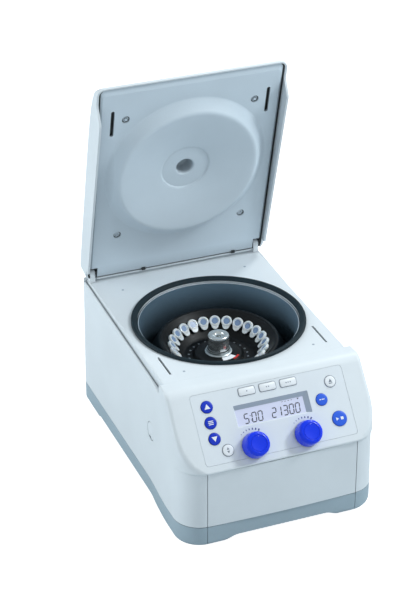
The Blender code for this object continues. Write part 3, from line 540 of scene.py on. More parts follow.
def plan(z, front, y_front, fillet=0.0, inset=0.0, side_inset=0.0):
    """A horizontal section of the body. It starts at y_front, which the console's slope may
    put behind the plan's own front, and fillet rounds the corners between slope and sides."""
    half = half_at(z) - inset - side_inset
    front += inset
    y_front = max(y_front + inset, front)
    back = BODY_BACK - inset
    corner = FRONT_CORNER - inset
    run = max(front + corner - y_front, fillet)
    right = []
    for k in range(21):
        y = y_front + run * (1 - math.cos(math.radians(90 * k / 20)))
        x = side_x(y, half, front, corner)
        near = y - y_front
        if near < fillet:
            x -= fillet - math.sqrt(fillet * fillet - (fillet - near) ** 2)
        right.append((x, y))
    start = y_front + run
    for k in range(1, 11):
        y = start + (FLARE_START - start) * k / 10
        right.append((side_x(y, half, front, corner), y))
    radius = BACK_CORNER - inset
    right += arc((half - radius, back - radius), radius, 0, 90, 8)
    return [Vector((x, y, z)) for x, y in right] + [Vector((-x, y, z)) for x, y in reversed(right)]


def slope_y(z, depth=0.0):
    """The console slope's y at a height, for a plane depth inside it."""
    return CONSOLE_Y - (DECK_Z - z) / math.tan(CONSOLE_TILT) + depth / math.sin(CONSOLE_TILT)


def lip_nose():
    """Arc of the lip, from its underside forward and up into the slope, as (y, z)."""
    centre = (slope_y(LIP_Z + NOSE, NOSE), LIP_Z + NOSE)
    return arc(centre, NOSE, 270, 90 + math.degrees(CONSOLE_TILT), 10)


def console_crest():
    """Arc from the slope back onto the console's flat top, as (y, z)."""
    run = CONSOLE_FILLET * math.tan(CONSOLE_TILT / 2)
    centre = (slope_y(CONSOLE_TOP_Z) + run, CONSOLE_TOP_Z - CONSOLE_FILLET)
    return arc(centre, CONSOLE_FILLET, 90 + math.degrees(CONSOLE_TILT), 90, 12)


def housing_skin():
    loops = []
    edge = 0.5 * MM
    for z, inset in ((SEAM_Z + GAP, edge), (SEAM_Z + GAP + edge / 2, edge / 4), (SEAM_Z + GAP + edge, 0.0),
                     (LIP_Z - 1.0 * MM, 0.0), (LIP_Z - 0.02 * MM, 0.0)):
        loops.append(plan(z, BODY_FRONT, BODY_FRONT, inset=inset))
    nose = lip_nose()
    foremost = min(y for y, _ in nose)
    for y, z in nose:
        below = z < LIP_Z + NOSE
        loops.append(plan(z, y if below else foremost, y))
    crest = console_crest()
    low, high = nose[-1][1], crest[0][1]
    for k in range(1, 9):
        z = low + (high - low) * (k / 9)
        loops.append(plan(z, foremost, slope_y(z), CHEEK_ROUND * ease((z - low) / (12 * MM))))
    for y, z in crest:
        rise = max(z - (CONSOLE_TOP_Z - TOP_ROUND), 0.0)
        tuck = TOP_ROUND - math.sqrt(max(TOP_ROUND ** 2 - rise ** 2, 0.0))
        loops.append(plan(z, foremost, y, CHEEK_ROUND, side_inset=tuck))
    bm = bmesh.new()
    add_stack(bm, loops)
    bmesh.ops.dissolve_limit(bm, angle_limit=math.radians(0.05), verts=bm.verts, edges=bm.edges)
    return make("upper_housing_shell", bm)


def deck_cutter():
    """Everything above the deck, with the console's step in front and the round edge behind."""
    drop = CONSOLE_TOP_Z - DECK_Z
    top = CONSOLE_TOP_Z + 10 * MM
    step = [(STEP_Y + 2.4 * MM * (k / 8 - 1), CONSOLE_TOP_Z + 0.01 * MM - drop * ease(k / 8))
            for k in range(9)]
    edge = 6 * MM
    behind = BODY_BACK + 10 * MM
    back = arc((BODY_BACK - edge, DECK_Z - edge), edge, 90, 0, 6)
    outline = step + back + [(behind, DECK_Z - edge), (behind, top), (step[0][0], top)]
    return prism("cut_deck", outline, "X", -200 * MM, 200 * MM)


def ledge_z(y):
    """Height of the ledge beside the deck, rising towards the back."""
    t = (y - LEDGE_Y[0]) / (LEDGE_Y[1] - LEDGE_Y[0])
    return DECK_Z - (LEDGE_DROP[0] + (LEDGE_DROP[1] - LEDGE_DROP[0]) * t)


def ledge_cutter(side):
    """The stepped edge along the deck: rounded platform edge, groove, narrow ledge, round rim."""
    brow, rim_round = 1.8 * MM, 1.8 * MM
    ys = [LEDGE_Y[0] + (FLARE_START - LEDGE_Y[0]) * k / 6 for k in range(7)] + [LEDGE_Y[1]]
    loops = []
    for y in ys:
        z = ledge_z(y)
        rim = side_x(y, half_at(z), BODY_FRONT, FRONT_CORNER) + 0.05 * MM
        points = [(PLATFORM_HALF - brow - 1 * MM, DECK_Z + 0.3 * MM)]
        points += arc((PLATFORM_HALF - brow, DECK_Z - brow), brow, 90, 0, 6)
        points += [(PLATFORM_HALF, z - GROOVE_DEPTH), (PLATFORM_HALF + GROOVE_WIDTH, z - GROOVE_DEPTH)]
        points += arc((PLATFORM_HALF + GROOVE_WIDTH + 0.5 * MM, z - 0.5 * MM), 0.5 * MM, 180, 90, 3)
        points += arc((rim - rim_round, z - rim_round), rim_round, 90, 0, 6)
        points += [(150 * MM, z - rim_round), (150 * MM, DECK_Z + 20 * MM),
                   (PLATFORM_HALF - brow - 1 * MM, DECK_Z + 20 * MM)]
        loops.append([Vector((side * a, y, b)) for a, b in points])
    return stack("cut_ledge", loops)


def deck_openings():
    """Chamber mouth, latch slots, side plug's hole, front and rear openings, in one cutter."""
    low, high = DECK_Z - 13 * MM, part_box("bowl_gasket")[1].z
    mouth = radii("bowl_gasket")[0] + 0.5 * MM
    bm = bmesh.new()
    add_turned(bm, [(0, low), (mouth, low), (mouth, high), (0, high)], 128, (ROTOR_AXIS.x, ROTOR_AXIS.y))
    for node in ("latch_hook_left", "latch_hook_right"):
        x = centre_in(node, Matrix())[0]
        slot = ((x - 1.3 * MM, x + 1.3 * MM), (-80 * MM, -38 * MM))
        add_prism(bm, rounded_box(*slot, 1.25 * MM), "Z", DECK_Z - 9 * MM, DECK_Z + 5 * MM)
    half = COVER_HALF + 0.5 * MM
    ahead, behind = BODY_FRONT - 20 * MM, BODY_FRONT + 4.5 * MM
    add_prism(bm, [(-half, ahead), (half, ahead), (half, behind), (-half, behind)], "Z", 20 * MM,
              LIP_Z - 0.1 * MM)
    low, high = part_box("rear_panel")
    window = rounded_box((low.x - GAP, high.x + GAP), (low.z - GAP, high.z + GAP), 3 * MM)
    add_prism(bm, window, "Y", BODY_BACK - 9 * MM, BODY_BACK + 10 * MM)
    low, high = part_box("side_release_plug")
    hole = (high.z - low.z) / 2 + 0.5 * MM
    middle = ((low.y + high.y) / 2, (low.z + high.z) / 2)
    outside, inside = -140 * MM, -112 * MM
    add_turned(bm, [(0, outside), (hole, outside), (hole, inside), (0, inside)], 64, middle, "X")
    return make("cut_openings", bm)


def radii(node):
    """Smallest and largest distance of a node's points from the rotor's axis."""
    points = frame["nodes"][node].data.vertices
    reach = [math.hypot(v.co.x - ROTOR_AXIS.x, v.co.y - ROTOR_AXIS.y) for v in points]
    return min(reach), max(reach)


def housing_cavities():
    front = BODY_FRONT + WALL
    turn_z = DECK_Z - (CONSOLE_Y - front + WALL / math.sin(CONSOLE_TILT)) * math.tan(CONSOLE_TILT)
    roof = DECK_Z - 15.5 * MM
    loops = [plan(20 * MM, front, front, inset=WALL), plan(turn_z, front, front, inset=WALL),
             plan(roof, front, slope_y(roof, WALL), inset=WALL)]
    lower = stack("cut_cavity", loops)
    upper = prism("cut_roof", [(slope_y(roof, WALL) + 3 * MM, roof - 5 * MM),
                               (slope_y(DECK_Z - WALL, 2 * WALL), DECK_Z - WALL),
                               (BODY_BACK - WALL, DECK_Z - WALL), (BODY_BACK - WALL, roof - 5 * MM)],
                  "X", -112 * MM, 112 * MM)
    return lower, upper


def upper_housing():
    shell = housing_skin()
    opening = prism("cut_panel", rounded_frame(*box_in("keypad_panel", FACE), GAP / 2, 4 * MM), "Z",
                    -12 * MM, 10 * MM, FACE)
    lower, upper = housing_cavities()
    carve(shell, deck_cutter(), ledge_cutter(1), ledge_cutter(-1), deck_openings(), opening, lower, upper)
    dress(weigh(shell), WHITE, "root", "white", "upper_housing")


def front_cover():
    low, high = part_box("front_cover")
    half = COVER_HALF - 0.2 * MM
    shares = [2 * k / 24 - 1 for k in range(25)]
    outline = [(half, high.y), (-half, high.y)]
    outline += [(half * share, BODY_FRONT - COVER_BOW * (1 - share ** 2)) for share in shares]
    cover = prism("front_cover_panel", outline, "Z", low.z, high.z)
    dress(weigh(soften(cover, 0.5 * MM)), WHITE, "root", "white", "front_cover")


def side_plug():
    """The emergency release cover, with its finger notch below."""
    low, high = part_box("side_release_plug")
    y, z = (low.y + high.y) / 2, (low.z + high.z) / 2
    radius = (high.y - low.y) / 2
    profile = [(0, low.x), (radius - 0.8 * MM, low.x)]
    profile += [(r, x) for x, r in arc((low.x + 0.8 * MM, radius - 0.8 * MM), 0.8 * MM, 180, 90, 4)]
    profile += [(radius, high.x), (0, high.x)]
    plug = turned("side_release_cover", profile, 64, axis="X", centre=(y, z))
    edge = z - radius
    outline = rounded_box((y - 1 * MM, y + 6.5 * MM), (edge - 1 * MM, edge + 3.4 * MM), 1.6 * MM)
    notch = prism("cut_notch", outline, "X", low.x - 1 * MM, low.x + 2.4 * MM)
    carve(plug, notch)
    dress(weigh(plug), WHITE, "root", "white", "side_release_plug")


# ---------------------------------------------------------------- base
ARCH_TOP = BASE_UNDERSIDE + 8.5 * MM
FRONT_ARCH = (56 * MM, 83 * MM)
SIDE_ARCH_FRONT = (-70 * MM, -112 * MM)
SIDE_ARCH_BACK = (117 * MM, 140 * MM)
BASE_ROUND = 8.0 * MM


def arch_slope(top_end, low_end):
    """One end of an arch under the base, from its flat top down past the underside."""
    low = BASE_UNDERSIDE - 1 * MM
    return [(top_end + (low_end - top_end) * k / 14, ARCH_TOP + (low - ARCH_TOP) * ease(k / 14))
            for k in range(15)]


def base_solid():
    """The grey base: upright wall, rounded under, lifted by arches between its corners."""
    top = SEAM_Z - GAP
    edge = 0.5 * MM
    loops = []
    for k in range(9):
        angle = math.radians(90 * k / 8)
        z = BASE_UNDERSIDE + BASE_ROUND * (1 - math.sin(angle))
        loops.append(plan(z, BODY_FRONT, BODY_FRONT, inset=BASE_ROUND * (1 - math.cos(angle)) + 0.3 * MM))
    loops.reverse()
    for z, inset in ((top - edge, 0.0), (top - edge / 2, edge / 4), (top, edge)):
        loops.append(plan(z, BODY_FRONT, BODY_FRONT, inset=inset + 0.05 * MM))
    base = stack("base_solid", loops)
    side = arch_slope(*SIDE_ARCH_FRONT)[::-1] + arch_slope(*SIDE_ARCH_BACK)
    front = arch_slope(-FRONT_ARCH[0], -FRONT_ARCH[1])[::-1] + arch_slope(*FRONT_ARCH)
    carve(base, prism("cut_side_arch", side, "X", -200 * MM, 200 * MM),
          prism("cut_front_arch", front, "Y", -250 * MM, 250 * MM))
    return base


def box_tool(name, x_range, y_range, z_range):
    """A plain block for cutting or keeping."""
    outline = [(x_range[a], y_range[b]) for a, b in ((0, 0), (1, 0), (1, 1), (0, 1))]
    return prism(name, outline, "Z", *z_range)


def base():
    """The tray and its separate front panel, cut from one solid."""
    tray = base_solid()
    tray.name = "base_tray_moulding"
    front = tray.copy()
    front.data = tray.data.copy()
    bpy.context.scene.collection.objects.link(front)
    front.name = "base_front_moulding"
    split = BODY_FRONT + 5.7 * MM
    wide, narrow = COVER_HALF + 0.4 * MM, COVER_HALF - 0.2 * MM
    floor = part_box("power_supply")[0].z - 0.5 * MM
    ahead, above = -250 * MM, 100 * MM
    carve(tray, box_tool("cut_front", (-wide, wide), (ahead, split), (0, above)),
          prism("cut_pocket", rounded_box(*mm([(-113.5, 113.5), (-174.5, 183)]), 8 * MM), "Z", floor, above))
    carve(front, box_tool("keep_front", (-narrow, narrow), (ahead, split - 0.4 * MM), (0, above)),
          operation="INTERSECT")
    for piece, node in ((tray, "base_tray"), (front, "base_front_panel")):
        soften(piece, 0.6 * MM, 2)
        dress(weigh(piece), GREY, "root", "grey", node)


def feet():
    for node in ("foot_front_left", "foot_front_right", "foot_back_left", "foot_back_right"):
        centre, radius, _, high = round_in(node, Matrix())
        profile = [(0, 0.8 * MM), (radius * 0.55, 0.8 * MM), (radius * 0.62, 0), (radius - 1.2 * MM, 0)]
        profile += arc((radius - 1.2 * MM, 1.2 * MM), 1.2 * MM, -90, 0, 4)
        profile += [(radius, high), (0, high)]
        pad = turned(node + "_pad", profile, 48, Matrix.Translation((*centre, 0)))
        dress(pad, FOOT_RUBBER, "root", "rubber", node)


# ---------------------------------------------------------------- console
BUTTONS = {
    "button_up": BUTTON_BLUE, "button_menu": BUTTON_BLUE, "button_down": BUTTON_BLUE,
    "button_unit": KEY_WHITE, "button_short": BUTTON_LIGHT, "button_open": KEY_WHITE,
    "button_start": BUTTON_LIGHT,
}
KEYS = ("key_left", "key_middle", "key_right")
KNOBS = ("knob_left", "knob_right")
# signs about their buttons' centres, in mm: arrows as (y, size, up), bars as (x, y, length, width)
ARROWS = {
    "button_up": ((0, 3.5, True),), "button_down": ((0, 3.5, False),), "button_open": ((0.8, 2.2, True),),
    "button_unit": ((1.9, 1.6, True), (-1.9, 1.6, False)),
}
BARS = {
    "button_menu": ((0, 1.9, 6.4, 0.9), (0, 0, 6.4, 0.9), (0, -1.9, 6.4, 0.9)),
    "button_short": ((-2.2, 0, 2.2, 1.0), (1.4, 0, 3.8, 1.0)), "button_open": ((0, -2.2, 4.4, 0.9),),
}


def dome(radius, low, edge_z, rise):
    """Profile of a round push button: straight side, small round shoulder, low dome."""
    shoulder = 0.6 * MM
    profile = [(0, low), (radius, low)]
    profile += arc((radius - shoulder, edge_z - shoulder), shoulder, 0, 70, 4)
    inner = radius - shoulder
    for k in range(1, 6):
        r = inner * (1 - k / 5)
        profile.append((r, edge_z + rise * (1 - (r / inner) ** 2)))
    return profile


def mark(name, outlines, body, material, height, slot, thick=0.12 * MM, matrix=FACE):
    """Printed or inlaid signs: thin plates in the console's plane, all in one piece."""
    bm = bmesh.new()
    for outline in outlines:
        add_prism(bm, outline, "Z", height, height + thick)
    dress(make(name, bm, matrix), material, body, slot)


def triangle(y, size, point_up):
    sign = 1 if point_up else -1
    return [(-size, y - sign * size * 0.75), (size, y - sign * size * 0.75), (0, y + sign * size * 0.95)]


def bar(x, y, length, width):
    return rounded_box((x - length / 2, x + length / 2), (y - width / 2, y + width / 2), width * 0.45, 3)


def ring_strip(name, outer, inner, body, material, height, slot, matrix=FACE, thick=0.12 * MM):
    """A flat closed band between two loops of the same number of points."""
    bm = bmesh.new()
    add_stack(bm, [flat(outer, height), flat(outer, height + thick), flat(inner, height + thick),
                   flat(inner, height)], closed=True)
    dress(make(name, bm, matrix), material, body, slot)


def button_sign(node):
    """Outlines of a button's sign about its centre, none of them a word."""
    if node == "button_start":
        return [mm([(-4.6, -2.0), (-1.2, 0), (-4.6, 2.0)]), mm(rounded_box((1.2, 4.6), (-1.7, 1.7), 0.3, 2))]
    return ([mm(triangle(*arrow)) for arrow in ARROWS.get(node, ())]
            + [mm(bar(*sizes)) for sizes in BARS.get(node, ())])


def buttons():
    for node, material in BUTTONS.items():
        (x, y), radius, low, high = round_in(node, FACE)
        place = FACE @ Matrix.Translation((x, y, 0))
        white = material is KEY_WHITE
        cap = turned(node + "_cap", dome(radius, low, high - 0.25 * MM, 0.25 * MM), 56, place)
        dress(cap, material, node, "pale" if white else "blue", node)
        ink = INK_GREY if white else INK_WHITE
        mark(node + "_sign", button_sign(node), node, ink, high - 0.02 * MM, "pale", matrix=place)
        if white:
            # Painted shadow: a grey ring on the panel round the button's edge.
            outer, inner = (disc((0, 0), radius + margin * MM, 56) for margin in (0.85, 0.45))
            ring_strip(node + "_edge_shadow", outer, inner, "root", RING_GREY, -0.02 * MM, "grey", place)


def keys():
    """Three round-cornered keys, marked with one, two and three dots."""
    edge = 0.6 * MM
    for dots, node in enumerate(KEYS, 1):
        low, high = box_in(node, FACE)
        loops = [flat(rounded_frame(low, high, -inset, 2.2 * MM - inset), z) for z, inset in
                 ((low.z, 0), (high.z - edge, 0), (high.z - edge * 0.4, edge * 0.25), (high.z, edge))]
        dress(stack(node + "_cap", loops, FACE), KEY_WHITE, node, "pale", node)
        x, y, _ = (low + high) / 2
        signs = [disc((x + (k - (dots - 1) / 2) * 2.6 * MM, y), 0.7 * MM, 12) for k in range(dots)]
        mark(node + "_sign", signs, node, INK_GREY, high.z - 0.02 * MM, "pale")
        # Painted shadow: a grey ring on the panel round the key's edge.
        ring_strip(node + "_edge_shadow", rounded_frame(low, high, 0.8 * MM, 2.9 * MM),
                   rounded_frame(low, high, 0.45 * MM, 2.6 * MM), "root", RING_GREY, -0.02 * MM, "grey")


def knobs():
    """Large knobs with a round shoulder, a ring groove and a shallow finger dish."""
    for node in KNOBS:
        centre, radius, low, height = round_in(node, FACE)
        shoulder = 4.6 * MM
        waist = radius - 0.9 * MM
        profile = [(0, low), (3 * MM, low), (3 * MM, 1.0 * MM), (radius - 0.6 * MM, 1.0 * MM)]
        profile += arc((radius - 0.6 * MM, 1.6 * MM), 0.6 * MM, -60, 0, 3)
        profile += [(radius - 0.1 * MM, 4 * MM), (radius - 0.45 * MM, 9 * MM)]
        profile += arc((waist - shoulder, height - shoulder), shoulder, 4, 78, 9)
        ring = waist - shoulder
        profile += [(ring + a, height + b) for a, b in
                    mm([(0.35, -0.03), (0, -0.5), (-0.5, -0.7), (-0.9, -0.5), (-1.3, -0.25)])]
        profile += [(ring * t, height - (0.25 + 0.7 * (0.76 - t * t)) * MM) for t in (0.8, 0.55, 0.3)]
        profile.append((0, height - 0.8 * MM))
        place = FACE @ Matrix.Translation((*centre, 0))
        dress(turned(node + "_cap", profile, 96, place), BLUE, node, "blue", node)


def tick_marks():
    """A rising row of ticks over each knob."""
    outlines = []
    for node in KNOBS:
        centre, radius, _, _ = round_in(node, FACE)
        for k in range(7):
            turn = math.radians(128 - 11.5 * k)
            out = Vector((math.cos(turn), math.sin(turn)))
            across = Vector((-out.y, out.x))
            middle = Vector(centre) + out * (radius + 4.2 * MM)
            long, wide = (1.3 + 0.22 * k) * MM, (0.45 + 0.18 * k) * MM
            outlines.append([middle + out * a * long / 2 + across * b * wide / 2
                             for a, b in ((-1, -1), (1, -1), (1, 1), (-1, 1))])
    mark("scale_ticks", outlines, "root", INK_BLUE, -0.02 * MM, "blue")


def keypad_panel():
    low, high = box_in("keypad_panel", FACE)
    top = -0.05 * MM
    panel = stack("keypad_foil", [flat(rounded_frame(low, high, -inset, 4 * MM - inset), z) for z, inset in
                                  ((low.z, 0), (top - 0.3 * MM, 0), (top, 0.3 * MM))], FACE)
    bm = bmesh.new()
    deep = 20 * MM
    for node in (*BUTTONS, *KNOBS):
        centre, radius, _, _ = round_in(node, FACE)
        hole, steps = (4 * MM, 32) if node in KNOBS else (radius + 0.35 * MM, 48)
        add_turned(bm, [(0, -deep), (hole, -deep), (hole, deep), (0, deep)], steps, centre)
    for node in KEYS:
        add_prism(bm, rounded_frame(*box_in(node, FACE), 0.35 * MM, 2.5 * MM), "Z", -deep, deep)
    add_prism(bm, rounded_frame(*box_in("display_lens", FACE), 0, 1.2 * MM), "Z", -deep, deep)
    carve(panel, make("cut_panel_holes", bm, FACE))
    dress(weigh(panel), PANEL, "root", "white", "keypad_panel")


# segments of a digit, as (centre x, centre y, upright) in units of its half height
SEGMENTS = {"a": (0, 1, False), "b": (0.5, 0.5, True), "c": (0.5, -0.5, True), "d": (0, -1, False),
            "e": (-0.5, -0.5, True), "f": (-0.5, 0.5, True), "g": (0, 0, False)}
DIGITS = {"0": "abcdef", "1": "bc", "2": "abged", "3": "abgcd", "5": "afgcd"}


def segment(centre, upright, length, width):
    """A hexagonal display segment."""
    h, w = length / 2, width / 2
    points = [(-h, 0), (-h + w, -w), (h - w, -w), (h, 0), (h - w, w), (-h + w, w)]
    if upright:
        points = [(b, a) for a, b in points]
    return [(centre[0] + a, centre[1] + b) for a, b in points]


def digit(character, x, y, height):
    """Outlines of a seven-segment digit, leaning to the right."""
    outlines = []
    half = height / 2
    lean = 0.10
    for key in DIGITS[character]:
        a, b, upright = SEGMENTS[key]
        length = half * (0.94 if upright else 0.84)
        outline = segment((a * half * 0.92, b * half), upright, length, 1.2 * MM)
        outlines.append([(x + p + q * lean, y + q) for p, q in outline])
    return outlines


def display():
    """A recessed liquid-crystal display with sloping walls."""
    low, high = box_in("display_lens", FACE)
    module_top = box_in("display_module", FACE)[1].z
    face_z = module_top + 0.3 * MM
    left, right, bottom, top = low.x + 1.6 * MM, high.x - 6.5 * MM, low.y + 1.4 * MM, high.y - 5.2 * MM
    outer = ((low.x, high.y), (high.x, high.y), (high.x, low.y), (low.x, low.y))
    inner = ((left, top), (right, top), (right, bottom), (left, bottom))
    # Painted shade and light: the top and right walls take the grey shade colour, the left and bottom walls the
    # lit panel colour.
    for k, (name, material) in enumerate((("shade", SHADE_GREY), ("shade_side", SHADE_GREY), ("lit", PANEL),
                                          ("lit_side", PANEL))):
        after = (k + 1) % 4
        upper = flat((outer[k], outer[after]), -0.3 * MM) + flat((inner[after], inner[k]), face_z)
        under = [p - Vector((0, 0, 0.5 * MM)) for p in upper]
        replaced = ("display_lens",) if name == "shade" else ()
        dress(stack("display_bezel_" + name, [under, upper], FACE), material, "root", "display", *replaced)
    outline = rounded_box((left - 1 * MM, right + 1 * MM), (bottom - 1 * MM, top + 1 * MM), 0.5 * MM)
    face = prism("display_face", outline, "Z", module_top - 3 * MM, face_z - 0.1 * MM, FACE)
    dress(face, LCD, "root", "display", "display_module")
    display_signs(bottom, top, face_z - 0.1 * MM)


def display_signs(bottom, top, height):
    """A time on the left, a speed on the right and a row of small state signs."""
    tall = 11.0 * MM
    y = bottom + 1.9 * MM + tall / 2
    outlines = []
    for character, x in (("5", -33.4), ("0", -23.8), ("0", -16.0), ("2", 1.4), ("1", 7.8), ("3", 15.9),
                         ("0", 23.6), ("0", 31.3)):
        outlines += digit(character, x * MM, y, tall)
    outlines += [disc((-28.2 * MM, y + d * tall), 0.55 * MM, 10) for d in (-0.24, 0.24)]
    small_y = top / MM - 1.6
    outlines += [mm(bar(x, small_y, 2.2, 0.45)) for x in (14, 18, 22, 26)]
    outlines.append([(34 * MM + x, y) for x, y in mm(triangle(small_y, 1.2, False))])
    mark("display_digits", outlines, "root", LCD_INK, height, "display", 0.06 * MM)


# ---------------------------------------------------------------- chamber
def chamber():
    low, high = (corner.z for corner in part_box("chamber_bowl"))
    rim = radii("bowl_gasket")[0] - 1.9 * MM
    wall = 1.5 * MM
    flange = 104.5 * MM
    profile = [(rim, high - 1.2 * MM)] + mm([(92.8, 111), (88.5, 102)])
    profile += [(84 * MM, low + wall + 0.6 * MM), (80 * MM, low + wall), (14 * MM, low + wall)]
    profile += [(14 * MM, low), (81 * MM, low)] + mm([(90, 101), (94.3, 110.5)])
    profile += [(rim + wall, high - 5 * MM), (flange, high - 5 * MM), (flange, high - 3.5 * MM),
                (rim + wall, high - 3.5 * MM), (rim + wall, high - 1.2 * MM)]
    bowl = turned("chamber_bowl_wall", profile, 128, AXLE)
    dress(weigh(bowl), BOWL, "root", "bowl", "chamber_bowl")
    bead = disc((rim + 0.6 * MM, high - 0.75 * MM), 0.6 * MM, 10)
    dress(turned("chamber_rim_bead", bead, 128, AXLE), RIM_METAL, "root", "bowl")


def gasket():
    low, high = (corner.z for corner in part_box("bowl_gasket"))
    inner, outer = radii("bowl_gasket")
    round_over = 1.5 * MM
    profile = [(inner, low), (inner + 0.2 * MM, low + 0.6 * MM), (inner + 4.2 * MM, high - 0.35 * MM)]
    profile += arc((inner + 5.0 * MM, high - 0.8 * MM), 0.8 * MM, 110, 60, 3)
    profile += arc((outer - round_over, high - round_over), round_over, 90, 0, 5)
    profile += [(outer, low)]
    dress(turned("chamber_gasket", profile, 144, AXLE), SEAL, "root", "seal", "bowl_gasket")


def deck_pads():
    """Four small buffers under the lid's corners."""
    profile = [(r, DECK_Z + z) for r, z in mm([(0, -0.5), (1.6, -0.5), (1.6, 0.1), (1.1, 0.35), (0, 0.4)])]
    bm = bmesh.new()
    for x in (-83 * MM, 83 * MM):
        for y in (-79 * MM, 133 * MM):
            add_turned(bm, profile, 20, (x, y))
    dress(make("deck_buffers", bm), SHADE_GREY, "root", "grey")


# ---------------------------------------------------------------- rotor
TUBES = 24
TUBE_RING = 55.6 * MM        # radius and height of the middle of each tube's cap
TUBE_RING_Z = 156.4 * MM
TUBE_FIRST = 147.6           # degrees about the rotor's axis of the first cap
TUBE_LEAN = math.radians(45)
CAP_RADIUS = 6.9 * MM


def tube_frames():
    """A frame on each tube's axis, with z up out of the bore and x towards the hub."""
    frames = []
    for k in range(TUBES):
        turn = math.radians(TUBE_FIRST - 360 * k / TUBES)
        place = Matrix.Translation((ROTOR_AXIS.x, ROTOR_AXIS.y, TUBE_RING_Z)) @ Matrix.Rotation(turn, 4, "Z")
        place = place @ Matrix.Translation((TUBE_RING, 0, 0)) @ Matrix.Rotation(math.pi, 4, "Z")
        frames.append(place @ Matrix.Rotation(TUBE_LEAN, 4, "Y"))
    return frames


def ring_at(place, radius, depth, steps):
    """A circle of points across a frame's z axis."""
    return [place @ Vector((x, y, depth)) for x, y in disc((0, 0), radius, steps)]


def rotor():
    hub = [(5.6, 118.0), (5.6, 149.5), (13.8, 149.5), (13.8, 146.4), (15.0, 145.4), (27.5, 144.6)]
    dish = [(29.0, 143.6), (31.5, 139.8), (33.5, 138.8), (41.0, 138.6), (43.6, 138.9), (45.6, 140.2)]
    rim = [(66.6, 161.2), (68.6, 163.6), (69.6, 164.7), (70.6, 165.0), (72.6, 165.0), (73.9, 164.4),
           (75.0, 163.0)]
    outside = [(86.6, 143.0), (88.2, 139.4), (89.2, 134.0), (89.5, 126.0), (88.6, 119.0), (86.2, 115.0)]
    below = [(82.0, 113.2), (78.0, 113.2), (72.0, 118.0), (52.0, 133.5), (24.0, 133.5), (22.0, 118.0)]
    profile = mm(hub + dish + rim + outside + below)
    body = turned("rotor_hub", profile, 144, AXLE)
    bore = mm([(5.75, 12), (5.75, -4.8), (5.55, -5.4), (5.4, -36), (3.0, -39)])
    bm = bmesh.new()
    for place in tube_frames():
        add_stack(bm, [ring_at(place, radius, depth, 20) for radius, depth in bore])
    carve(body, make("cut_bores", bm))
    dress(weigh(body), ROTOR, "rotor", "rotor", "rotor_body")
    rotor_marks()


def rotor_marks():
    """Small round dots in the dish, one between each pair of tubes, and a two-coloured arc by the nut."""
    dot = mm([(0, 138.6), (1.4, 138.6), (1.4, 138.95), (0, 138.95)])
    reach = 36.5 * MM
    bm = bmesh.new()
    for k in range(TUBES):
        turn = math.radians(TUBE_FIRST - 360 * (k + 0.5) / TUBES)
        add_turned(bm, dot, 16, (reach * math.cos(turn), reach * math.sin(turn)))
    dress(make("rotor_dots", bm, AXLE), STEEL, "rotor", "rotor")
    for name, start, end, inner, outer, material in (("rotor_label_white", -98, -52, 17.4, 24.4, INK_WHITE),
                                                     ("rotor_label_red", -66, -42, 24.8, 27.2, INK_RED)):
        outline = mm(arc((0, 0), outer, start, end, 14) + arc((0, 0), inner, end, start, 14))
        dress(prism(name, outline, "Z", 144.4 * MM, 145.4 * MM, AXLE), material, "rotor", "rotor")


def rotor_nut():
    """A smooth round nut with a stepped hollow in its top."""
    _, radius, low, top = round_in("rotor_nut", Matrix())
    grip = radius - 1.9 * MM
    profile = [(0, low), (grip, low), (grip, top - 6.0 * MM), (radius - 1.6 * MM, top - 4.6 * MM)]
    profile += arc((radius - 3.6 * MM, top - 2.0 * MM), 2.0 * MM, 0, 85, 7)
    profile += [(r, top + z) for r, z in mm([(7.6, -0.05), (6.9, -0.3), (6.4, -1.4), (5.2, -2.6), (3.2, -3.0),
                                             (2.9, -6.0), (0, -6.3)])]
    dress(turned("rotor_nut_cap", profile, 96, AXLE), NUT, "rotor", "bright", "rotor_nut")


def rotor_collar():
    """Polished sleeve around the rotor's hub, under the nut."""
    ring = mm([(13.95, 149.4), (14.7, 149.4), (14.7, 146.6), (15.4, 146.0), (16.8, 145.7), (16.8, 145.5),
               (15.1, 145.6), (13.95, 146.5)])
    dress(turned("rotor_collar", ring, 96, AXLE), SLEEVE, "rotor", "bright")


def sample_tubes():
    """24 closed 2 ml tubes, lids up, tabs to the hub."""
    r = CAP_RADIUS / MM
    profile = mm([(0, -36), (2.0, -35.4), (3.6, -32), (5.0, -18), (5.2, -3.6), (r - 0.3, -3.3), (r, -2.9),
                  (r, -0.7), (r - 0.25, -0.2), (r - 0.9, 0), (4.9, 0), (4.5, -0.9), (2.6, -1.1), (2.2, -0.8),
                  (0, -0.75)])
    rim = r - 0.4
    tab = mm(arc((rim, 0), 4.2, -64, 64, 8) + arc((0, 0), rim, 62, 50, 2) + arc((0, 0), rim, -50, -62, 2))
    bm = bmesh.new()
    centres = bmesh.new()
    for place in tube_frames():
        part = bmesh.new()
        add_turned(part, profile, 24)
        add_prism(part, tab, "Z", -1.7 * MM, -0.35 * MM)
        part.transform(place)
        mesh = bpy.data.meshes.new("tube")
        part.to_mesh(mesh)
        part.free()
        bm.from_mesh(mesh)
        bpy.data.meshes.remove(mesh)
        add_stack(centres, [ring_at(place, 3.9 * MM, depth * MM, 16) for depth in (-0.95, -0.72)])
    dress(make("sample_tubes", bm), TUBE, "rotor", "pale")
    dress(make("tube_lid_centres", centres), TUBE_CENTRE, "rotor", "pale")


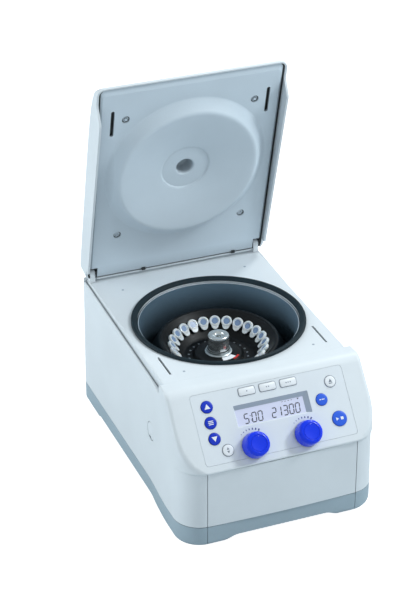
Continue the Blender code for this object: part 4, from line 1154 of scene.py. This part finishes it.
# ---------------------------------------------------------------- lid
SHELL_LOW, SHELL_HIGH = box_in("lid_shell", LID)
LINER_LOW, LINER_HIGH = box_in("lid_liner", LID)
BOSS_DROP = 12 * MM
LINER_Z = LINER_LOW.z + BOSS_DROP  # underside of the liner's plate
LINER_TOP = LINER_Z + 2.8 * MM
LIP_TOP = LINER_TOP + 1.2 * MM  # top of the lid's upright front lip
LID_CORNER = 10 * MM
LID_STATIONS = (0.045, 0.09, 0.15, 0.24, 0.42, 0.7)  # shares of the straight side, from the front
SHOULDER_Z = 214.2 * MM
SHELL_WALL = 2.8 * MM
HOOK_X = abs(centre_in("latch_hook_right", Matrix()).x)
SCREWS = ("lid_screw_front_left", "lid_screw_front_right", "lid_screw_back_left", "lid_screw_back_right")


def lid_level(y, z, floor):
    """Bends a level of the lid down towards its front edge."""
    depth = y - SHELL_LOW.y
    share = 1 - 0.75 * math.exp(-depth / (18 * MM)) - 0.25 * math.exp(-depth / (75 * MM))
    return max(floor, LIP_TOP + (z - LIP_TOP) * share)


def crown(inset):
    """Rise of the lid's top above its shoulder, at a distance in from the edge."""
    edge, full = 9.5 * MM, 25.6 * MM
    rounding = edge * math.sqrt(max(1 - (1 - min(inset / (11 * MM), 1)) ** 2, 0))
    return rounding + (full - edge) * (1 - (1 - min(inset / (110 * MM), 1)) ** 2)


def lid_outline(half, front, back, radius):
    """A round-cornered rectangle with extra points along its two sides."""
    corners = rounded_box((-half, half), (front, back), radius, 8)
    start, end = front + radius, back - radius
    right = [(half, start + (end - start) * share) for share in LID_STATIONS]
    left = [(-x, y) for x, y in reversed(right)]
    return corners[:9] + right + corners[9:27] + left + corners[27:]


def lid_block(name, margin, front, back, low, drop, floor):
    """Straight sides, a rounded shoulder and a gently crowned top, thinner in front."""
    half = SHELL_HIGH.x - margin
    shoulder, middle = 11 * MM, 110 * MM
    insets = [shoulder * (1 - math.cos(math.radians(9 * k))) for k in range(11)]
    insets += [shoulder + (middle - shoulder) * (k / 10) for k in range(1, 11)]
    loops = []
    for inset in insets:
        radius = min(LID_CORNER - margin + 0.6 * inset, 0.96 * (half - inset))
        outline = lid_outline(half - inset, front + inset, back - inset, radius)
        z = SHOULDER_Z + crown(inset) - drop
        loops.append([Vector((a, b, lid_level(b, z, floor))) for a, b in outline])
    base = flat([(point.x, point.y) for point in loops[0]], low)
    return stack(name, [base] + loops, LID)


def lid_shell():
    shell = lid_block("lid_cover", 0, SHELL_LOW.y, SHELL_HIGH.y, 170 * MM, 0, 0)
    hollow = lid_block("cut_hollow", SHELL_WALL, SHELL_LOW.y + 1.8 * MM, SHELL_HIGH.y - 2 * MM, 160 * MM,
                       3 * MM, LINER_TOP + GAP)
    rim = LINER_Z + 0.1 * MM
    start, end = LEDGE_Y[0] + 0.6 * MM, 160 * MM
    drop = ledge_z(start) + 1.2 * MM - rim
    run = 24 * MM
    curve = [(start + run * k / 12, rim + drop * ease(k / 12)) for k in range(13)]
    skirt = [(-130 * MM, 150 * MM), (-130 * MM, rim)] + curve
    skirt += [(end, ledge_z(end) + 1.2 * MM), (end + 0.5 * MM, rim), (190 * MM, rim), (190 * MM, 150 * MM)]
    below = prism("cut_below_rim", skirt, "X", -140 * MM, 140 * MM, LID)
    carve(shell, hollow, below, *hinge_notches())
    soften(shell, 0.6 * MM, 3, 55)
    dress(weigh(shell), WHITE, "lid", "white", "lid_shell")


def hinge_notches():
    """Room for the hinge brackets through the lid's whole swing."""
    tools = []
    for low_x, high_x in ((106 * MM, 117.8 * MM), (-117.8 * MM, -106 * MM)):
        outline = [(low_x, 158 * MM), (high_x, 158 * MM), (high_x, 185 * MM), (low_x, 185 * MM)]
        tools.append(prism("cut_notch", outline, "Z", 180 * MM, 209 * MM, LID))
    return tools


def on_liner(points):
    """Millimetres out from an axis and up from the liner's underside, as a profile."""
    return [(r, LINER_Z + z) for r, z in mm(points)]


def boss_profile():
    """A raised ring with a sloping outside and a dished face around a flat disc."""
    return on_liner([
        (0, -0.6), (30.6, -0.6), (31.6, -0.72), (32.4, -1.0), (33.6, -1.4), (60, -6.75), (83.5, -11.4),
        (86.0, -11.8), (88.0, -11.95), (89.6, -11.75), (91.0, -11.1), (92.4, -9.95), (95.5, -6.5),
        (99.0, -3.75), (101.6, -1.75), (103.0, -0.8), (104.2, -0.22), (105.4, -0.02), (105.5, 1.0),
        (15.5, 1.0), (15.5, 17.5), (0, 17.5)])


def slot_outline(x, half, front, back, radius):
    """A long rounded slot around a latch hook's path."""
    return rounded_box((x - half * MM, x + half * MM), (front * MM, back * MM), radius * MM)


def liner_holes():
    """Latch slots, screw pads and screw holes."""
    bm = bmesh.new()
    for x in (-HOOK_X, HOOK_X):
        add_prism(bm, slot_outline(x, 2.3, -85, -48, 2.25), "Z", 180 * MM, 210 * MM)
    for node in SCREWS:
        middle = centre_in(node, LID)
        add_turned(bm, on_liner([(0, -1), (5.4, -1), (4.6, 1.5), (0, 1.5)]), 40, (middle.x, middle.y))
        add_turned(bm, on_liner([(0, 0), (2.3, 0), (2.3, 7.8), (0, 7.8)]), 20, (middle.x, middle.y))
    return make("cut_slots", bm, LID)


def lid_liner():
    """The grey inner plate: bevelled edge, dished boss and a dimple in the middle."""
    half, front, back = LINER_HIGH.x - 0.4 * MM, LINER_LOW.y + 0.4 * MM, LINER_HIGH.y
    loops = []
    levels = [(0, 3.0, 8.3), (0.15, 2.6, 7.6), (1.9, 0.25, 0.3), (2.2, 0, 0), (2.8, 0, 0)]
    for z, side, lead in mm(levels):
        outline = rounded_box((side - half, half - side), (front + lead, back - side * 0.7), 5 * MM)
        loops.append(flat(outline, LINER_Z + z))
    liner = stack("lid_inner_plate", loops, LID)
    place = LID @ AXLE
    carve(liner, turned("join_boss", boss_profile(), 144, place), operation="UNION")
    dimple = on_liner([(0, -3.0), (32.4, -3.0), (31.6, -0.6), (30.6, 0.5), (29.6, 0.8), (13.0, 0.8),
                       (12.0, 1.1), (11.0, 2.0), (10.3, 4.0), (9.8, 8.0), (9.0, 13.0), (7.5, 15.0),
                       (0, 15.5)])
    hollow = on_liner([(34.8, 2.0), (84.5, -8.4), (88.5, -9.0), (93.0, -6.0), (99.5, 1.5), (99.5, 15),
                       (34.8, 15)])
    carve(liner, turned("cut_dimple", dimple, 64, place), liner_holes(),
          turned("cut_back", hollow, 64, place), *hinge_notches())
    dress(weigh(liner), LINER, "lid", "liner", "lid_liner")
    lid_clips(back)
    lid_gap(half, front, back)
    latch_slot_shades()


def lid_clips(back):
    """Two dark clips on the liner's back edge."""
    bm = bmesh.new()
    for x in (-44 * MM, 79 * MM):
        outline = rounded_box((x - 2.6 * MM, x + 2.6 * MM), (back - 3.6 * MM, back + 0.2 * MM), 0.8 * MM, 3)
        add_prism(bm, outline, "Z", LINER_Z - 1.6 * MM, LINER_Z + 1.2 * MM)
    dress(make("lid_clips", bm, LID), BLACK, "lid", "dark")


def lid_gap(half, front, back):
    """A black band in the gap round the inner plate: painted shade."""
    wide = SHELL_HIGH.x - SHELL_WALL + 0.2 * MM
    outer = rounded_box((-wide, wide), (front + 1 * MM, back + 0.6 * MM), 5 * MM)
    inner = rounded_box((0.6 * MM - half, half - 0.6 * MM), (front + 2.4 * MM, back - 0.6 * MM), 5 * MM)
    ring_strip("lid_gap_painted_shade", outer, inner, "lid", BLACK, LINER_TOP - 1.0 * MM, "dark", LID, 0.8 * MM)


def latch_slot_shades():
    """Dark caps over the latch slots, above the hooks' tips as they rest: painted shade that darkens the slots."""
    bm = bmesh.new()
    low = max(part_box("latch_hook_right")[1].z, LINER_TOP) + 1 * MM
    for x in (-HOOK_X, HOOK_X):
        add_prism(bm, slot_outline(x, 6, -90, -43, 3), "Z", low, low + 1 * MM)
    dress(make("latch_slot_painted_shade", bm, LID), BLACK, "lid", "dark")


def lid_screws():
    for node in SCREWS:
        (x, y), radius, low, high = round_in(node, LID)
        seat = low + 1.5 * MM
        profile = [(0, low), (radius * 0.6, low), (radius * 0.88, low + 0.25 * MM), (radius, low + 0.9 * MM),
                   (radius, seat), (1.8 * MM, seat), (1.8 * MM, high), (0, high)]
        screw = turned(node + "_head", profile, 36, LID @ Matrix.Translation((x, y, 0)))
        bm = bmesh.new()
        for wide, deep in mm([(2.4, 0.55), (0.55, 2.4)]):
            cross = rounded_box((x - wide, x + wide), (y - deep, y + deep), 0.3 * MM, 2)
            add_prism(bm, cross, "Z", low - 1 * MM, low + 1.7 * MM)
        carve(screw, make("cut_cross", bm, LID))
        dress(screw, SCREW, "lid", "bright", node)
        # Painted shadow: a black ring in the recess round each screw head.
        outer, inner = (disc((x, y), reach, 36) for reach in (4.7 * MM, radius + 0.2 * MM))
        ring_strip(node + "_shadow_ring", outer, inner, "lid", BLACK, LINER_Z + 1.35 * MM, "dark", LID)


# ---------------------------------------------------------------- studio
def aim(obj, place, target):
    obj.location = place
    direction = Vector(target) - Vector(place)
    obj.rotation_euler = direction.to_track_quat("-Z", "Y").to_euler()


def soft_light(name, place, target, size, power):
    light = bpy.data.lights.new(name, "AREA")
    light.shape = "DISK"
    light.size = size
    light.energy = power
    light.color = (0.92, 0.975, 1.0)
    obj = bpy.data.objects.new(name, light)
    bpy.context.scene.collection.objects.link(obj)
    aim(obj, place, target)
    obj.visible_camera = False


def studio():
    floor = bpy.data.meshes.new("studio_floor")
    bm = bmesh.new()
    bmesh.ops.create_grid(bm, x_segments=1, y_segments=1, size=6)
    bm.to_mesh(floor)
    bm.free()
    floor_obj = bpy.data.objects.new("studio_floor", floor)
    bpy.context.scene.collection.objects.link(floor_obj)
    recipe = Recipe("studio_paper")
    seen = recipe.node("ShaderNodeLightPath").outputs["Is Camera Ray"]
    grain = recipe.spread(recipe.noise(300, 3), 0.98, 1.0)
    recipe.set(Base_Color=recipe.mix(seen, (0.55, 0.61, 0.65, 1), (0.5, 0.5, 0.5, 1)), Roughness=0.9)
    recipe.set(Emission_Color=recipe.mix(seen, (0, 0, 0, 1), (1, 1, 1, 1)), Emission_Strength=grain)
    floor.materials.append(recipe.material)
    studio_world()
    soft_light("key", (1.9, -0.9, 2.2), (0, 0, 0.25), 0.6, 36)
    soft_light("back", (1.2, 0.55, 2.05), (0, 0, 0.2), 0.5, 15)
    soft_light("side", (-2.3, 0.9, 0.7), (0, 0, 0.15), 1.2, 26)


def studio_world():
    """White to the camera. As light it is brightest overhead and dimmer in front."""
    world = bpy.data.worlds.new("studio_world")
    world.use_nodes = True
    tree = world.node_tree
    tree.nodes.clear()
    place = add_node(tree, "ShaderNodeTexCoord").outputs["Generated"]
    parts = add_node(tree, "ShaderNodeSeparateXYZ", {0: place}).outputs
    side = add_node(tree, "ShaderNodeMapRange", {"Value": parts["Y"], "From Min": -1.0, "From Max": 1.0,
                                                 "To Min": 0.66, "To Max": 0.56}).outputs["Result"]
    rise = add_node(tree, "ShaderNodeMapRange", {"Value": parts["Z"], "From Min": 0.0, "From Max": 1.0,
                                                 "To Min": 1.02, "To Max": 0.85}).outputs["Result"]
    strength = add_node(tree, "ShaderNodeMath", {0: side, 1: rise}, operation="MULTIPLY").outputs[0]
    lit = add_node(tree, "ShaderNodeBackground", {"Color": (0.90, 0.97, 1.0, 1.0), "Strength": strength})
    seen = add_node(tree, "ShaderNodeBackground", {"Color": (1, 1, 1, 1), "Strength": 1.05})
    ray = add_node(tree, "ShaderNodeLightPath").outputs["Is Camera Ray"]
    mixed = add_node(tree, "ShaderNodeMixShader", {0: ray, 1: lit.outputs[0], 2: seen.outputs[0]})
    add_node(tree, "ShaderNodeOutputWorld", {"Surface": mixed.outputs[0]})
    bpy.context.scene.world = world


def camera():
    lens = bpy.data.cameras.new("photo_camera")
    lens.sensor_width = 36
    lens.lens = 120.85
    lens.shift_x = -0.0168
    lens.shift_y = -0.0067
    lens.clip_end = 50
    obj = bpy.data.objects.new("photo_camera", lens)
    bpy.context.scene.collection.objects.link(obj)
    obj.location = (-0.800, -1.941, 1.400)
    obj.rotation_euler = (math.radians(60.99), 0, math.radians(-21.93))
    bpy.context.scene.camera = obj
    bpy.context.scene.view_settings.view_transform = "Standard"


# ---------------------------------------------------------------- assembly
def build():
    finish_cad_nodes()
    upper_housing()
    front_cover()
    side_plug()
    base()
    feet()
    keypad_panel()
    buttons()
    keys()
    knobs()
    tick_marks()
    display()
    chamber()
    gasket()
    rotor()
    rotor_nut()
    rotor_collar()
    sample_tubes()
    deck_pads()
    lid_shell()
    lid_liner()
    lid_screws()
    studio()
    camera()


build()
